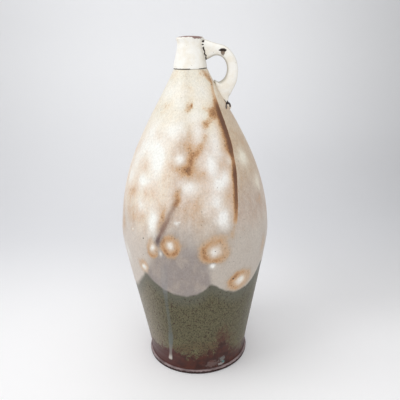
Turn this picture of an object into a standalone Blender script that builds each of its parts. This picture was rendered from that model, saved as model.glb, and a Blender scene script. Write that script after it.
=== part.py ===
"""Stoneware bottle jug: a slab foot, a body thrown in two halves, a thrown neck and a pulled handle.

Metres, +Z up. The origin is the middle of the underside, and the handle stands on the +X side.
Every piece is one piece of clay, luted to its neighbour when leather-hard.
"""

import math

import bmesh
import bpy

MM = 0.001

# How close two pieces of clay come at a joint, and how far a cutter runs past what it cuts
JOINT_GAP = 0.3 * MM
CUT_OVERRUN = 12 * MM

# Foot slab: the disc under the body, standing proud of the wall
FOOT_SLAB_RADIUS = 64.6 * MM
FOOT_SLAB_THICKNESS = 5 * MM
FOOT_EDGE_ROUND = 1.4 * MM
FOOT_REGISTER_HEIGHT = 3 * MM

# Body wall: the lower half stands on the slab, the upper half laps over it at the belly
WALL_THICKNESS = 6.5 * MM
WALL_FOOT_RADIUS = 61.9 * MM
BELLY_RADIUS = 89.9 * MM
LOWER_WALL_HEIGHT = 168 * MM
UPPER_WALL_HEIGHT = 192 * MM
BELLY_LAP_HEIGHT = 8 * MM
SHOULDER_TOP_RADIUS = 18.4 * MM
THROAT_RADIUS = 14 * MM

# How each part of the outside bends: two Bezier handles, as shares of the way across and up
LOWER_BEND_SHARES = ((0.08, 0.16), (1.0, 0.89))
UPPER_BEND_SHARES = ((0.0, 0.445), (0.68, 0.75))

# Neck collar: a cone with a slight waist and a rounded lip, and a spigot down into the throat
NECK_HEIGHT = 35 * MM
NECK_FOOT_RADIUS = 18.2 * MM
LIP_RADIUS = 14.7 * MM
NECK_BORE_RADIUS = 10.4 * MM
SPIGOT_LENGTH = 5 * MM
NECK_BEND_SHARES = ((0.2, 0.28), (1.57, 0.75))

# Finger gap: the hole between the neck and the strap, measured from the shoulder's top edge
FINGER_GAP_WIDTH = 22.4 * MM
FINGER_GAP_HEIGHT = 29.2 * MM
FINGER_GAP_BELOW_RIM = 36 * MM

# Handle: a flat strap that leaves the neck, goes round the finger gap and ends on the shoulder
ROOT_BELOW_RIM = 14.9 * MM
ROOT_HEIGHT = 23 * MM
ROOT_WIDTH = 16.5 * MM
STRAP_THICKNESS = 12 * MM
STRAP_WIDTH = 15.5 * MM
CROTCH_BELOW_RIM = 49.6 * MM
HEEL_THICKNESS = 24.5 * MM
HEEL_WIDTH = 13.5 * MM
HEEL_ANGLE = -46
TAIL_BELOW_RIM = 73 * MM
TAIL_THICKNESS = 7 * MM
TAIL_WIDTH = 8.5 * MM
TAIL_TIP_LENGTH = 4 * MM

# The strap's run round the gap: where each station is on the gap's edge, which way its section
# runs from there, both in degrees, and its size as shares of the strap's
ARCH_ANGLES = (100, 65, 32, 0, -30, -55, -82)
SECTION_ANGLES = (100, 65, 32, 0, -30, -54, -47)
ARCH_THICKNESS_SHARES = (1.24, 1.0, 0.97, 1.04, 1.18, 1.44, 1.66)
ARCH_WIDTH_SHARES = (1.02, 1.0, 1.0, 1.0, 0.97, 0.93, 0.89)
ROOT_SUNK_SHARE = 0.5
TAIL_TIP_SHARE = 0.45

# The strap's section: how square it is, where 2 is an ellipse, and how wide its inner side is as a
# share of its outer side, at the root, round the gap and at the tail
STRAP_SQUARENESS = 2.5
ROOT_INNER_SHARE = 0.45
STRAP_INNER_SHARE = 0.82
TAIL_INNER_SHARE = 1.0

# Tail pellet: the lump of clay pressed over the strap's lower end
PELLET_BELOW_RIM = 77.5 * MM
PELLET_HEIGHT = 9 * MM
PELLET_WIDTH = 9 * MM
PELLET_THICKNESS = 6.4 * MM

# Fineness
TURN_STEPS = 48
BODY_STEPS = 12
NECK_STEPS = 6
ROUND_STEPS = 3
STRAP_RINGS = 34
STRAP_SIDES = 16
PELLET_SIDES = 16
PELLET_RINGS = 10
LEAST_SPACING = 1 * MM
SHARP_ANGLE = math.radians(32)
MERGE_DISTANCE = 0.01 * MM

# Heights where one piece seats on the next
SLAB_TOP = FOOT_SLAB_THICKNESS
BELLY_LEVEL = SLAB_TOP + LOWER_WALL_HEIGHT
SEAM_LEVEL = BELLY_LEVEL + UPPER_WALL_HEIGHT
RIM_LEVEL = SEAM_LEVEL + NECK_HEIGHT

LIP_ROUND = (LIP_RADIUS - NECK_BORE_RADIUS) / 2


def clear_scene():
    """Empties the scene, without closing the file that this runs from."""
    for thing in list(bpy.data.objects):
        bpy.data.objects.remove(thing, do_unlink=True)


def new_collection(name):
    """A collection of that name in the scene."""
    collection = bpy.data.collections.new(name)
    bpy.context.scene.collection.children.link(collection)
    return collection


def glaze(name, colour, roughness):
    """A plain fired finish: one colour, no metal."""
    material = bpy.data.materials.new(name)
    material.use_nodes = True
    shader = material.node_tree.nodes["Principled BSDF"]
    shader.inputs["Base Color"].default_value = (*colour, 1)
    shader.inputs["Roughness"].default_value = roughness
    shader.inputs["Metallic"].default_value = 0
    material.diffuse_color = (*colour, 1)
    return material


def bent_line(start, end, bend_shares, steps):
    """Points of a Bezier line from start to end. Its handles are shares of the way across and up."""
    across = end[0] - start[0]
    up = end[1] - start[1]
    corners = [start]
    for across_share, up_share in bend_shares:
        corners.append((start[0] + across_share * across, start[1] + up_share * up))
    corners.append(end)
    points = []
    for step in range(steps + 1):
        along = step / steps
        back = 1 - along
        weights = (back**3, 3 * back**2 * along, 3 * back * along**2, along**3)
        radius = sum(weight * corner[0] for weight, corner in zip(weights, corners))
        height = sum(weight * corner[1] for weight, corner in zip(weights, corners))
        points.append((radius, height))
    return points


def arc(centre, radius, first_angle, last_angle, steps):
    """Points of an arc in the profile's plane, from one angle to another, in degrees."""
    points = []
    for step in range(steps + 1):
        angle = math.radians(first_angle + (last_angle - first_angle) * step / steps)
        points.append((centre[0] + radius * math.cos(angle), centre[1] + radius * math.sin(angle)))
    return points


def inset_line(line, depth):
    """The same line, that much deeper in the wall, measured square to the surface."""
    points = []
    for index, (radius, height) in enumerate(line):
        before = line[max(index - 1, 0)]
        after = line[min(index + 1, len(line) - 1)]
        out = after[0] - before[0]
        up = after[1] - before[1]
        length = math.hypot(out, up)
        points.append((radius - depth * up / length, height + depth * out / length))
    return points


def radius_at(line, height):
    """How far out a rising line is at a height."""
    for (low_radius, low), (high_radius, high) in zip(line, line[1:]):
        if height <= high:
            return low_radius + (high_radius - low_radius) * (height - low) / (high - low)
    return line[-1][0]


def height_at(line, radius):
    """How high a line that draws in towards the axis is at a radius."""
    for (wide, low), (narrow, high) in zip(line, line[1:]):
        if narrow <= radius:
            return low + (high - low) * (wide - radius) / (wide - narrow)
    return line[-1][1]


# The jug's outside as (radius, height) lines that rise: foot to belly, belly to seam, seam to lip
WALL_FOOT_EDGE = (WALL_FOOT_RADIUS, SLAB_TOP + JOINT_GAP)
LOWER_LINE = bent_line(WALL_FOOT_EDGE, (BELLY_RADIUS, BELLY_LEVEL), LOWER_BEND_SHARES, BODY_STEPS)
SKIRT_EDGE = (BELLY_RADIUS, BELLY_LEVEL + JOINT_GAP)
UPPER_LINE = bent_line(SKIRT_EDGE, (SHOULDER_TOP_RADIUS, SEAM_LEVEL), UPPER_BEND_SHARES, BODY_STEPS)
NECK_FOOT_EDGE = (NECK_FOOT_RADIUS, SEAM_LEVEL + JOINT_GAP)
LIP_EDGE = (LIP_RADIUS, RIM_LEVEL - LIP_ROUND)
NECK_LINE = bent_line(NECK_FOOT_EDGE, LIP_EDGE, NECK_BEND_SHARES, NECK_STEPS)

WALL_FOOT_BORE = inset_line(LOWER_LINE, WALL_THICKNESS)[0][0]
BELLY_BORE = BELLY_RADIUS - WALL_THICKNESS
LAP_FACE = BELLY_RADIUS - WALL_THICKNESS / 2


def turned(name, outline, seat, collection, solid=False):
    """Spins an outline of (radius, height) round Z. It runs down its outer side, and a solid one
    starts and ends on the axis. The object's origin is on the axis at its seat."""
    count = len(outline)
    corners = [(radius, 0, height - seat) for radius, height in outline]
    edges = [(index, index + 1) for index in range(count - 1)]
    if not solid:
        edges.append((count - 1, 0))
    mesh = bpy.data.meshes.new(name)
    mesh.from_pydata(corners, edges, [])
    piece = bpy.data.objects.new(name, mesh)
    piece.location.z = seat
    collection.objects.link(piece)
    screw = piece.modifiers.new("Turn", "SCREW")
    screw.steps = TURN_STEPS
    screw.render_steps = TURN_STEPS
    screw.use_merge_vertices = True
    screw.merge_threshold = MERGE_DISTANCE
    screw.use_smooth_shade = True
    return piece


def settle(piece, material):
    """Makes the modifiers' result the object's own mesh, shades it and gives it its finish."""
    bpy.context.view_layer.update()
    graph = bpy.context.evaluated_depsgraph_get()
    result = bpy.data.meshes.new_from_object(piece.evaluated_get(graph))
    drawn = piece.data
    piece.modifiers.clear()
    piece.data = result
    bpy.data.meshes.remove(drawn)
    result.name = piece.name
    result.shade_smooth()
    result.set_sharp_from_angle(angle=SHARP_ANGLE)
    result.materials.clear()
    result.materials.append(material)
    return piece


def foot_slab(collection):
    """The disc: a rounded edge, and a low raised disc that centres the wall."""
    edge_round = min(FOOT_EDGE_ROUND, FOOT_SLAB_THICKNESS / 2)
    edge_out = FOOT_SLAB_RADIUS - edge_round
    register_radius = WALL_FOOT_BORE - JOINT_GAP
    register_top = SLAB_TOP + FOOT_REGISTER_HEIGHT
    outline = [(0, register_top), (register_radius, register_top), (register_radius, SLAB_TOP)]
    outline += arc((edge_out, SLAB_TOP - edge_round), edge_round, 90, 0, ROUND_STEPS)
    outline += arc((edge_out, edge_round), edge_round, 0, -90, ROUND_STEPS)
    outline.append((0, 0))
    piece = turned("foot_slab", outline, 0, collection, solid=True)
    return settle(piece, glaze("iron_brown_foot", (0.10, 0.045, 0.032), 0.55))


def lower_wall(collection):
    """The lower half: its rim has a ledge outside and a tongue inside."""
    tongue_face = LAP_FACE - JOINT_GAP / 2
    tongue_top = BELLY_LEVEL + BELLY_LAP_HEIGHT
    inner = inset_line(LOWER_LINE, WALL_THICKNESS)[1:-1]
    outline = LOWER_LINE[::-1]
    outline.append((WALL_FOOT_BORE, WALL_FOOT_EDGE[1]))
    outline += inner
    outline += [(BELLY_BORE, BELLY_LEVEL), (BELLY_BORE, tongue_top), (tongue_face, tongue_top)]
    outline.append((tongue_face, BELLY_LEVEL))
    piece = turned("lower_wall", outline, SLAB_TOP, collection)
    return settle(piece, glaze("olive_glaze", (0.17, 0.15, 0.085), 0.35))


def upper_wall(collection):
    """The upper half: a skirt laps over the tongue, and the throat takes the neck's spigot."""
    skirt_face = LAP_FACE + JOINT_GAP / 2
    skirt_foot = SKIRT_EDGE[1]
    lap_top = skirt_foot + BELLY_LAP_HEIGHT
    inner = inset_line(UPPER_LINE, WALL_THICKNESS)
    throat_foot = height_at(inner, THROAT_RADIUS)
    outline = UPPER_LINE[::-1]
    outline += [(skirt_face, skirt_foot), (skirt_face, lap_top), (radius_at(inner, lap_top), lap_top)]
    for radius, height in inner:
        if lap_top + LEAST_SPACING < height < throat_foot - LEAST_SPACING:
            outline.append((radius, height))
    outline += [(THROAT_RADIUS, throat_foot), (THROAT_RADIUS, SEAM_LEVEL)]
    piece = turned("upper_wall", outline, BELLY_LEVEL, collection)
    return settle(piece, glaze("milky_glaze", (0.78, 0.66, 0.52), 0.3))


def neck_collar(collection):
    """The neck: from the rounded lip down the outer cone, then the spigot and the bore."""
    spigot_radius = THROAT_RADIUS - JOINT_GAP
    spigot_foot = SEAM_LEVEL - SPIGOT_LENGTH
    lip_centre = (NECK_BORE_RADIUS + LIP_ROUND, RIM_LEVEL - LIP_ROUND)
    outline = arc(lip_centre, LIP_ROUND, 90, 0, ROUND_STEPS)
    outline += NECK_LINE[-2::-1]
    outline.append((spigot_radius, NECK_FOOT_EDGE[1]))
    outline += [(spigot_radius, spigot_foot), (NECK_BORE_RADIUS, spigot_foot)]
    outline += arc(lip_centre, LIP_ROUND, 180, 90, ROUND_STEPS)[:-1]
    piece = turned("neck_collar", outline, SEAM_LEVEL, collection)
    return settle(piece, glaze("cream_glaze", (0.86, 0.80, 0.66), 0.3))


def outside_cutter(collection):
    """The jug's whole outside from the belly up, one joint gap larger: it cuts what is luted on."""
    top = RIM_LEVEL + CUT_OVERRUN
    outline = [(0, top), (LIP_RADIUS + JOINT_GAP, top)]
    for radius, height in NECK_LINE[::-1] + UPPER_LINE[::-1]:
        outline.append((radius + JOINT_GAP, height))
    outline.append((0, SKIRT_EDGE[1]))
    cutter = turned("outside_cutter", outline, 0, collection, solid=True)
    return as_cutter(cutter)


def as_cutter(cutter):
    """Keeps a helper out of the render."""
    cutter.hide_render = True
    cutter.display_type = "WIRE"
    return cutter


def cut_by(piece, cutter):
    """Takes the cutter's shape out of the piece."""
    cut = piece.modifiers.new("Cut by " + cutter.name, "BOOLEAN")
    cut.operation = "DIFFERENCE"
    cut.solver = "EXACT"
    cut.object = cutter


def strap_station(inner, angle, thickness, width, inner_share):
    """One place along the strap: its edge at the finger gap, its outer edge, and its widths."""
    turn = math.radians(angle)
    outer = (inner[0] + thickness * math.cos(turn), inner[1] + thickness * math.sin(turn))
    return (*inner, *outer, width, inner_share)


def root_stations():
    """The strap's end in the neck: as tall as its joint there, and sunk past the neck's surface."""
    foot = RIM_LEVEL - ROOT_BELOW_RIM - ROOT_HEIGHT / 2
    top = foot + ROOT_HEIGHT
    foot_out = radius_at(NECK_LINE, foot)
    top_out = radius_at(NECK_LINE, top)
    stations = []
    for share in (ROOT_SUNK_SHARE, 1):
        stations.append((foot_out * share, foot, top_out * share, top, ROOT_WIDTH, ROOT_INNER_SHARE))
    return stations


def arch_stations():
    """The strap's run round the finger gap: every inner edge lies on the gap's oval."""
    gap_half_width = FINGER_GAP_WIDTH / 2
    gap_half_height = FINGER_GAP_HEIGHT / 2
    gap_out = SHOULDER_TOP_RADIUS + gap_half_width
    gap_level = RIM_LEVEL - FINGER_GAP_BELOW_RIM
    sizes = zip(ARCH_THICKNESS_SHARES, ARCH_WIDTH_SHARES)
    stations = []
    for angle, section_angle, (thickness_share, width_share) in zip(ARCH_ANGLES, SECTION_ANGLES, sizes):
        turn = math.radians(angle)
        inner = (gap_out + gap_half_width * math.cos(turn), gap_level + gap_half_height * math.sin(turn))
        thickness = STRAP_THICKNESS * thickness_share
        width = STRAP_WIDTH * width_share
        stations.append(strap_station(inner, section_angle, thickness, width, STRAP_INNER_SHARE))
    return stations


def shoulder_slope(level, length):
    """The angle, in degrees, of a line square to the shoulder at a level, read over a length."""
    wider = radius_at(UPPER_LINE, level - length / 2)
    narrower = radius_at(UPPER_LINE, level + length / 2)
    return math.degrees(math.atan2(wider - narrower, length))


def tail_stations():
    """The strap's lower end: it spreads onto the shoulder at its heel, then thins out to its tip."""
    crotch_level = RIM_LEVEL - CROTCH_BELOW_RIM
    crotch = (radius_at(UPPER_LINE, crotch_level), crotch_level)
    stations = [strap_station(crotch, HEEL_ANGLE, HEEL_THICKNESS, HEEL_WIDTH, STRAP_INNER_SHARE)]
    tail_level = RIM_LEVEL - TAIL_BELOW_RIM
    slope = shoulder_slope(tail_level, TAIL_THICKNESS)
    turn = math.radians(slope)
    for level, share in ((tail_level, 1), (tail_level - TAIL_TIP_LENGTH, TAIL_TIP_SHARE)):
        thickness = TAIL_THICKNESS * share
        out = radius_at(UPPER_LINE, level) - thickness / 2 * math.cos(turn)
        inner = (out, level - thickness / 2 * math.sin(turn))
        stations.append(strap_station(inner, slope, thickness, TAIL_WIDTH * share, TAIL_INNER_SHARE))
    return stations


def smooth_run(stations, count):
    """That many stations, evenly spread on a Catmull-Rom curve through the given ones."""
    run = []
    last = len(stations) - 1
    for step in range(count):
        place = step * last / (count - 1)
        index = min(int(place), last - 1)
        along = place - index
        around = [stations[min(max(index + shift, 0), last)] for shift in (-1, 0, 1, 2)]
        values = []
        for before, start, end, after in zip(*around):
            lead = end - before
            trail = after - start
            bend = 2 * start - 2 * end + (lead + trail) / 2
            sag = 3 * end - 3 * start - lead - trail / 2
            values.append(((bend * along + sag) * along + lead / 2) * along + start)
        run.append(values)
    return run


def strap_section(station):
    """Corners of a rounded section between the strap's two edges at one station."""
    inner_out, inner_level, outer_out, outer_level, width, inner_share = station
    power = 2 / STRAP_SQUARENESS
    corners = []
    for side in range(STRAP_SIDES):
        angle = 2 * math.pi * (side + 0.5) / STRAP_SIDES
        across = (1 + math.copysign(abs(math.cos(angle)) ** power, math.cos(angle))) / 2
        reach = math.copysign(abs(math.sin(angle)) ** power, math.sin(angle))
        out = inner_out + (outer_out - inner_out) * across
        level = inner_level + (outer_level - inner_level) * across
        half_width = width / 2 * (inner_share + (1 - inner_share) * across)
        corners.append((out, half_width * reach, level))
    return corners


def handle(collection, cutters):
    """A loft of rounded sections along the strap's run, cut where it meets neck, shoulder and pellet."""
    stations = root_stations() + arch_stations() + tail_stations()
    form = bmesh.new()
    rings = []
    for station in smooth_run(stations, STRAP_RINGS):
        rings.append([form.verts.new(corner) for corner in strap_section(station)])
    for ring, following in zip(rings, rings[1:]):
        for side in range(STRAP_SIDES):
            beside = (side + 1) % STRAP_SIDES
            form.faces.new((ring[side], ring[beside], following[beside], following[side]))
    form.faces.new(rings[0])
    form.faces.new(rings[-1])
    # A loft's four-sided faces are slightly twisted, and flat triangles cut cleanly
    bmesh.ops.triangulate(form, faces=form.faces[:])
    piece = from_form("handle", form, glaze("cream_glaze_on_strap", (0.86, 0.79, 0.67), 0.3), collection)
    for cutter in cutters:
        cut_by(piece, cutter)
    return piece


def from_form(name, form, material, collection):
    """Makes an object of a finished bmesh, facing out and shaded smooth."""
    bmesh.ops.recalc_face_normals(form, faces=form.faces[:])
    mesh = bpy.data.meshes.new(name)
    form.to_mesh(mesh)
    form.free()
    mesh.shade_smooth()
    mesh.set_sharp_from_angle(angle=SHARP_ANGLE)
    if material:
        mesh.materials.append(material)
    piece = bpy.data.objects.new(name, mesh)
    collection.objects.link(piece)
    return piece


def pellet_form(name, swell, material, collection):
    """The pressed lump, lying on the shoulder's slope, that much larger all round."""
    level = RIM_LEVEL - PELLET_BELOW_RIM
    form = bmesh.new()
    bmesh.ops.create_uvsphere(form, u_segments=PELLET_SIDES, v_segments=PELLET_RINGS, radius=1)
    size = (PELLET_THICKNESS / 2 + swell, PELLET_WIDTH / 2 + swell, PELLET_HEIGHT / 2 + swell)
    bmesh.ops.scale(form, vec=size, verts=form.verts[:])
    piece = from_form(name, form, material, collection)
    piece.location = (radius_at(UPPER_LINE, level), 0, level)
    piece.rotation_euler.y = -math.radians(shoulder_slope(level, PELLET_HEIGHT))
    return piece


def tail_pellet(collection, cutter):
    """The lump itself, flat where it lies on the shoulder."""
    material = glaze("cream_glaze_on_pellet", (0.80, 0.70, 0.56), 0.35)
    piece = pellet_form("tail_pellet", 0, material, collection)
    cut_by(piece, cutter)
    return piece


def build_jug():
    """Every piece of clay, under one empty at the middle of the underside."""
    clear_scene()
    pieces = new_collection("stoneware_jug")
    helpers = new_collection("stoneware_jug_cutters")
    outside = outside_cutter(helpers)
    socket = as_cutter(pellet_form("pellet_socket_cutter", JOINT_GAP, None, helpers))
    built = [
        foot_slab(pieces),
        lower_wall(pieces),
        upper_wall(pieces),
        neck_collar(pieces),
        handle(pieces, (outside, socket)),
        tail_pellet(pieces, outside),
    ]
    stand = bpy.data.objects.new("jug_stand", None)
    pieces.objects.link(stand)
    for piece in built:
        piece.parent = stand


build_jug()
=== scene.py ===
# %% [markdown]
# # A stoneware bottle jug, from bare clay to fired glaze
# The jug is one pot made of six pieces of clay: a slab foot, a body thrown in two halves, a thrown
# neck, a pulled handle and a small pellet pressed over the handle's lower end. It was dipped in a
# green-brown glaze, then a milky glaze was poured over it, and the fire made both of them run.
# This file starts from the packed model, which gives every size, and makes the surface around it.

import math
from functools import partialmethod

import bmesh
import bpy
import numpy as np
from mathutils import Matrix, Vector, noise


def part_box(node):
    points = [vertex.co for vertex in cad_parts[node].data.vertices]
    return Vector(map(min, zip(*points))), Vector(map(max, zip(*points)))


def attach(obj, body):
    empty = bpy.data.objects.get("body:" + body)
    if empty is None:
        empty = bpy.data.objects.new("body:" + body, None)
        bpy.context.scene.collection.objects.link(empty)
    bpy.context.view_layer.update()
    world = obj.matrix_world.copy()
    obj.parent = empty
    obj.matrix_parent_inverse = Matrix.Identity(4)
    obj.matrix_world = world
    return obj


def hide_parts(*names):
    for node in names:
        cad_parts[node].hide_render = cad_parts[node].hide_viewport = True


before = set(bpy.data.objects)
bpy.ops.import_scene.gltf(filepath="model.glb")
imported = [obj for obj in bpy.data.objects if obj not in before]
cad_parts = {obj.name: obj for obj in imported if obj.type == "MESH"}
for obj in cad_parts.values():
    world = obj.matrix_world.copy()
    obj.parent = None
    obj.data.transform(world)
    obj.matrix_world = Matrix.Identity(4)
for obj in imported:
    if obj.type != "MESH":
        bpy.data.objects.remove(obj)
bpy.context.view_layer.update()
scene = bpy.context.scene

MM = 0.001  # one millimetre, in the metres that the frame is in
print("nodes:", sorted(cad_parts))

# %% [markdown]
# ## The camera
# The jug was photographed from a little above its rim, quite close, with the camera tipped down.
# A longer lens from further away could frame it as well, but a close camera makes the belly look
# bigger than the foot, so its place matters as much as its lens. Place, tilt and lens were fitted
# together to the jug's outline.

# %% Stand the camera
CAMERA_PLACE = (0, -0.5759, 0.4066)
CAMERA_TIP_DOWN = math.radians(19.07)
CAMERA_TURN_RIGHT = math.radians(0.683)
CAMERA_ROLL = math.radians(-1.364)
CAMERA_LENS = 44.46
CAMERA_SENSOR = 36


def add_object(name, data):
    """A new object in the scene."""
    thing = bpy.data.objects.new(name, data)
    scene.collection.objects.link(thing)
    return thing


def stand_camera():
    """The camera, turned right, tipped down and rolled, in that order."""
    data = bpy.data.cameras.new("camera")
    data.lens = CAMERA_LENS
    data.sensor_width = CAMERA_SENSOR
    turn = Matrix.Rotation(-CAMERA_TURN_RIGHT, 4, "Z")
    tip = Matrix.Rotation(math.pi / 2 - CAMERA_TIP_DOWN, 4, "X")
    roll = Matrix.Rotation(CAMERA_ROLL, 4, "Z")
    scene.camera = add_object("camera", data)
    scene.camera.matrix_world = Matrix.Translation(CAMERA_PLACE) @ turn @ tip @ roll


stand_camera()
scene.view_settings.view_transform = "Standard"
print("camera lens:", CAMERA_LENS, "mm")

# %% [markdown]
# ## Colours as the eye reads them
# A colour picked from a photograph is in display values, from 0 to 255. Blender's shaders count
# light, not display values, so each colour is turned into light once, here.


# %% Turn display colours into light
def fired(red, green, blue):
    """A display colour as the light that a shader works with."""
    light = []
    for value in (red, green, blue):
        share = value / 255
        light.append(share / 12.92 if share <= 0.04045 else ((share + 0.055) / 1.055) ** 2.4)
    return (*light, 1)


print("mid grey as light:", round(fired(128, 128, 128)[0], 3))

# %% [markdown]
# ## A bench for wiring nodes
# A material made of many layers needs many nodes. They could be placed and wired one by one, but
# that hides the idea. So this small bench adds a node, feeds it, and hands back what comes out, and
# every layer below reads like a recipe.


# %% Set up the bench
class Bench:
    """One node tree. Each call adds a node, feeds it numbers or other nodes' outputs, and returns
    its output."""

    def __init__(self, tree):
        self.tree = tree

    def feed(self, socket, value):
        """Links an output to the socket, or sets the socket's own value."""
        if isinstance(value, bpy.types.NodeSocket):
            self.tree.links.new(value, socket)
        else:
            socket.default_value = value

    def add(self, kind, feeds=(), out=0, **settings):
        """Adds a node. feeds pairs an input's name or number with what goes into it, and out says
        which output is wanted, or None for all of them."""
        node = self.tree.nodes.new(kind)
        for name, value in settings.items():
            setattr(node, name, value)
        for place, value in dict(feeds).items():
            self.feed(node.inputs[place], value)
        return node.outputs if out is None else node.outputs[out]

    def use(self, group, out=0, **feeds):
        """Places a node group. Its inputs are named with _ for a space."""
        named = {name.replace("_", " "): value for name, value in feeds.items()}
        return self.add("ShaderNodeGroup", named, out, node_tree=group)

    def work(self, operation, *values):
        """A Math node."""
        return self.add("ShaderNodeMath", enumerate(values), operation=operation)

    def times(self, first, *others):
        """The values multiplied, one after the other."""
        for other in others:
            first = self.work("MULTIPLY", first, other)
        return first

    plus = partialmethod(work, "ADD")
    minus = partialmethod(work, "SUBTRACT")
    over = partialmethod(work, "DIVIDE")

    def away(self, value, centre):
        """How far a value is from a centre, on either side of it."""
        return self.work("ABSOLUTE", self.minus(value, centre))

    def ramp(self, value, low, high, start=0, end=1, **settings):
        """Moves evenly from start to end while value goes from low to high."""
        feeds = {"Value": value, "From Min": low, "From Max": high, "To Min": start, "To Max": end}
        return self.add("ShaderNodeMapRange", feeds, **settings)

    def fade(self, value, low, high, start=0, end=1):
        """The same, with a soft start and a soft end."""
        return self.ramp(value, low, high, start, end, interpolation_type="SMOOTHSTEP")

    def blend(self, share, first, second, **settings):
        """From the first colour to the second."""
        feeds = {"Factor": share, 6: first, 7: second}
        return self.add("ShaderNodeMix", feeds, out=2, data_type="RGBA", **settings)

    def lay(self, colour, *layers):
        """A colour with layers on it, each a share and the colour that it turns to."""
        for share, other in layers:
            colour = self.blend(share, colour, other)
        return colour

    def shade(self, share, first, second):
        """The first colour multiplied by the second, as far as the share says."""
        return self.blend(share, first, second, blend_type="MULTIPLY")

    def grey(self, value):
        """A value as a grey colour."""
        return self.add("ShaderNodeCombineColor", {0: value, 1: value, 2: value})

    def split(self, vector):
        """How far right, back and up a vector goes."""
        return self.add("ShaderNodeSeparateXYZ", {0: vector}, out=None)

    def clouds(self, place, size, detail=3, roughness=0.5):
        """Noise from 0 to 1 whose lumps are about that many millimetres across."""
        feeds = {"Vector": place, "Scale": 1 / (size * MM), "Detail": detail, "Roughness": roughness}
        return self.add("ShaderNodeTexNoise", feeds)

    def wobble(self, place, size, reach, detail=4, roughness=0.5):
        """Clouds that push a value down and up by as much as the reach."""
        return self.fade(self.clouds(place, size, detail, roughness), 0.3, 0.7, -reach, reach)

    def shake(self, place, size, reach):
        """The same with coarser clouds, which keep the middle steeper."""
        return self.ramp(self.clouds(place, size, detail=2), 0.25, 0.75, -reach, reach)

    def stored(self, name):
        """A value that the mesh holds at each of its corners."""
        return self.add("ShaderNodeAttribute", out=2, attribute_name=name)


print("bench tools:", [tool for tool in vars(Bench) if not tool.startswith("_")])

# %% [markdown]
# An effect that several materials share, such as specks, is built once as a node group. It could be
# a copy of the same nodes in each material, but a group is mended in one place.


# %% Make ready for node groups
def new_group(name, inputs, outputs):
    """The bench of a new node group, its inputs by name, and the call that finishes it. The input
    Place is a vector, and all others are numbers."""
    tree = bpy.data.node_groups.new(name, "ShaderNodeTree")
    for label in inputs:
        kind = "NodeSocketVector" if label == "Place" else "NodeSocketFloat"
        tree.interface.new_socket(label, in_out="INPUT", socket_type=kind)
    for label in outputs:
        tree.interface.new_socket(label, in_out="OUTPUT", socket_type="NodeSocketFloat")
    given = tree.nodes.new("NodeGroupInput").outputs
    leave = tree.nodes.new("NodeGroupOutput")

    def finish(*results):
        for label, result in zip(outputs, results):
            tree.links.new(result, leave.inputs[label])
        print("node group:", name, "with", len(tree.nodes), "nodes")
        return tree

    return Bench(tree), given, finish


# %% [markdown]
# ## Finding a place on a pot
# A potter thinks of a pot as height and turn: how high a mark is, and how far round. An unwrapped
# UV map could say so too, but it has a seam and stretches. So the first group reads both from the
# object's own coordinates. The front is at 0 degrees and the handle at 90.


# %% Build the group that finds height and turn
def place_group():
    """Turn in degrees and height in millimetres; and the swing, which is the turn in front but comes
    back to 0 behind, so that a colour led by it has no seam there."""
    bench, given, finish = new_group("place on the jug", ("Place",), ("Turn", "Height", "Swing"))
    right, back, up = bench.split(given["Place"])
    angle = bench.work("ARCTAN2", right, bench.times(back, -1))
    swing = bench.work("DEGREES", bench.work("ARCSINE", bench.work("SINE", angle)))
    return finish(bench.work("DEGREES", angle), bench.over(up, MM), swing)


PLACE = place_group()

# %% [markdown]
# ## Small marks
# A bare spot, a chip or a drop is an ellipse on the skin, perhaps leaning a little. It could be
# painted on an image, but an ellipse stays sharp at any size. This group gives one, from how far
# across and how far up a place is. A ragged value pushes its edge in and out.


# %% Build the group for one mark
def from_middle(bench, across, up, ragged):
    """How far a place is from an ellipse's middle, where 1 is its edge."""
    square = bench.plus(bench.times(across, across), bench.times(up, up))
    return bench.plus(bench.work("SQRT", square), ragged)


def mark_group():
    """How far a place is into an ellipse: 1 inside, 0 outside, with an edge of the given softness."""
    ellipse = ("Centre across", "Centre up", "Half width", "Half height")
    inputs = ("Across", "Up", "Ragged", *ellipse, "Lean", "Softness")
    bench, given, finish = new_group("mark", inputs, ("Mask",))
    up = bench.minus(given["Up"], given["Centre up"])
    across = bench.minus(given["Across"], given["Centre across"])
    across = bench.minus(across, bench.times(up, given["Lean"]))
    across = bench.over(across, given["Half width"])
    up = bench.over(up, given["Half height"])
    distance = from_middle(bench, across, up, given["Ragged"])
    inner = bench.minus(1, given["Softness"])
    outer = bench.plus(1, given["Softness"])
    return finish(bench.fade(distance, inner, outer, 1, 0))


MARK = mark_group()


def mark(bench, across, up, ragged, ellipse, softness, lean=0.0):
    """Places the group, with the ellipse as (centre across, centre up, half width, half height)."""
    feeds = dict(zip(("Centre_across", "Centre_up", "Half_width", "Half_height"), ellipse))
    return bench.use(MARK, Across=across, Up=up, Ragged=ragged, Lean=lean, Softness=softness, **feeds)


# %% [markdown]
# ## Specks and grain
# Iron in the clay bleeds through every glaze as dark specks. Thousands of small marks could be
# placed one by one, but a Voronoi texture scatters cells at no cost, and a small ball in the middle
# of some of them is a speck. The grain is finer: the mottle that a melted glaze has everywhere, as
# a number around one that colours are multiplied by.


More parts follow.
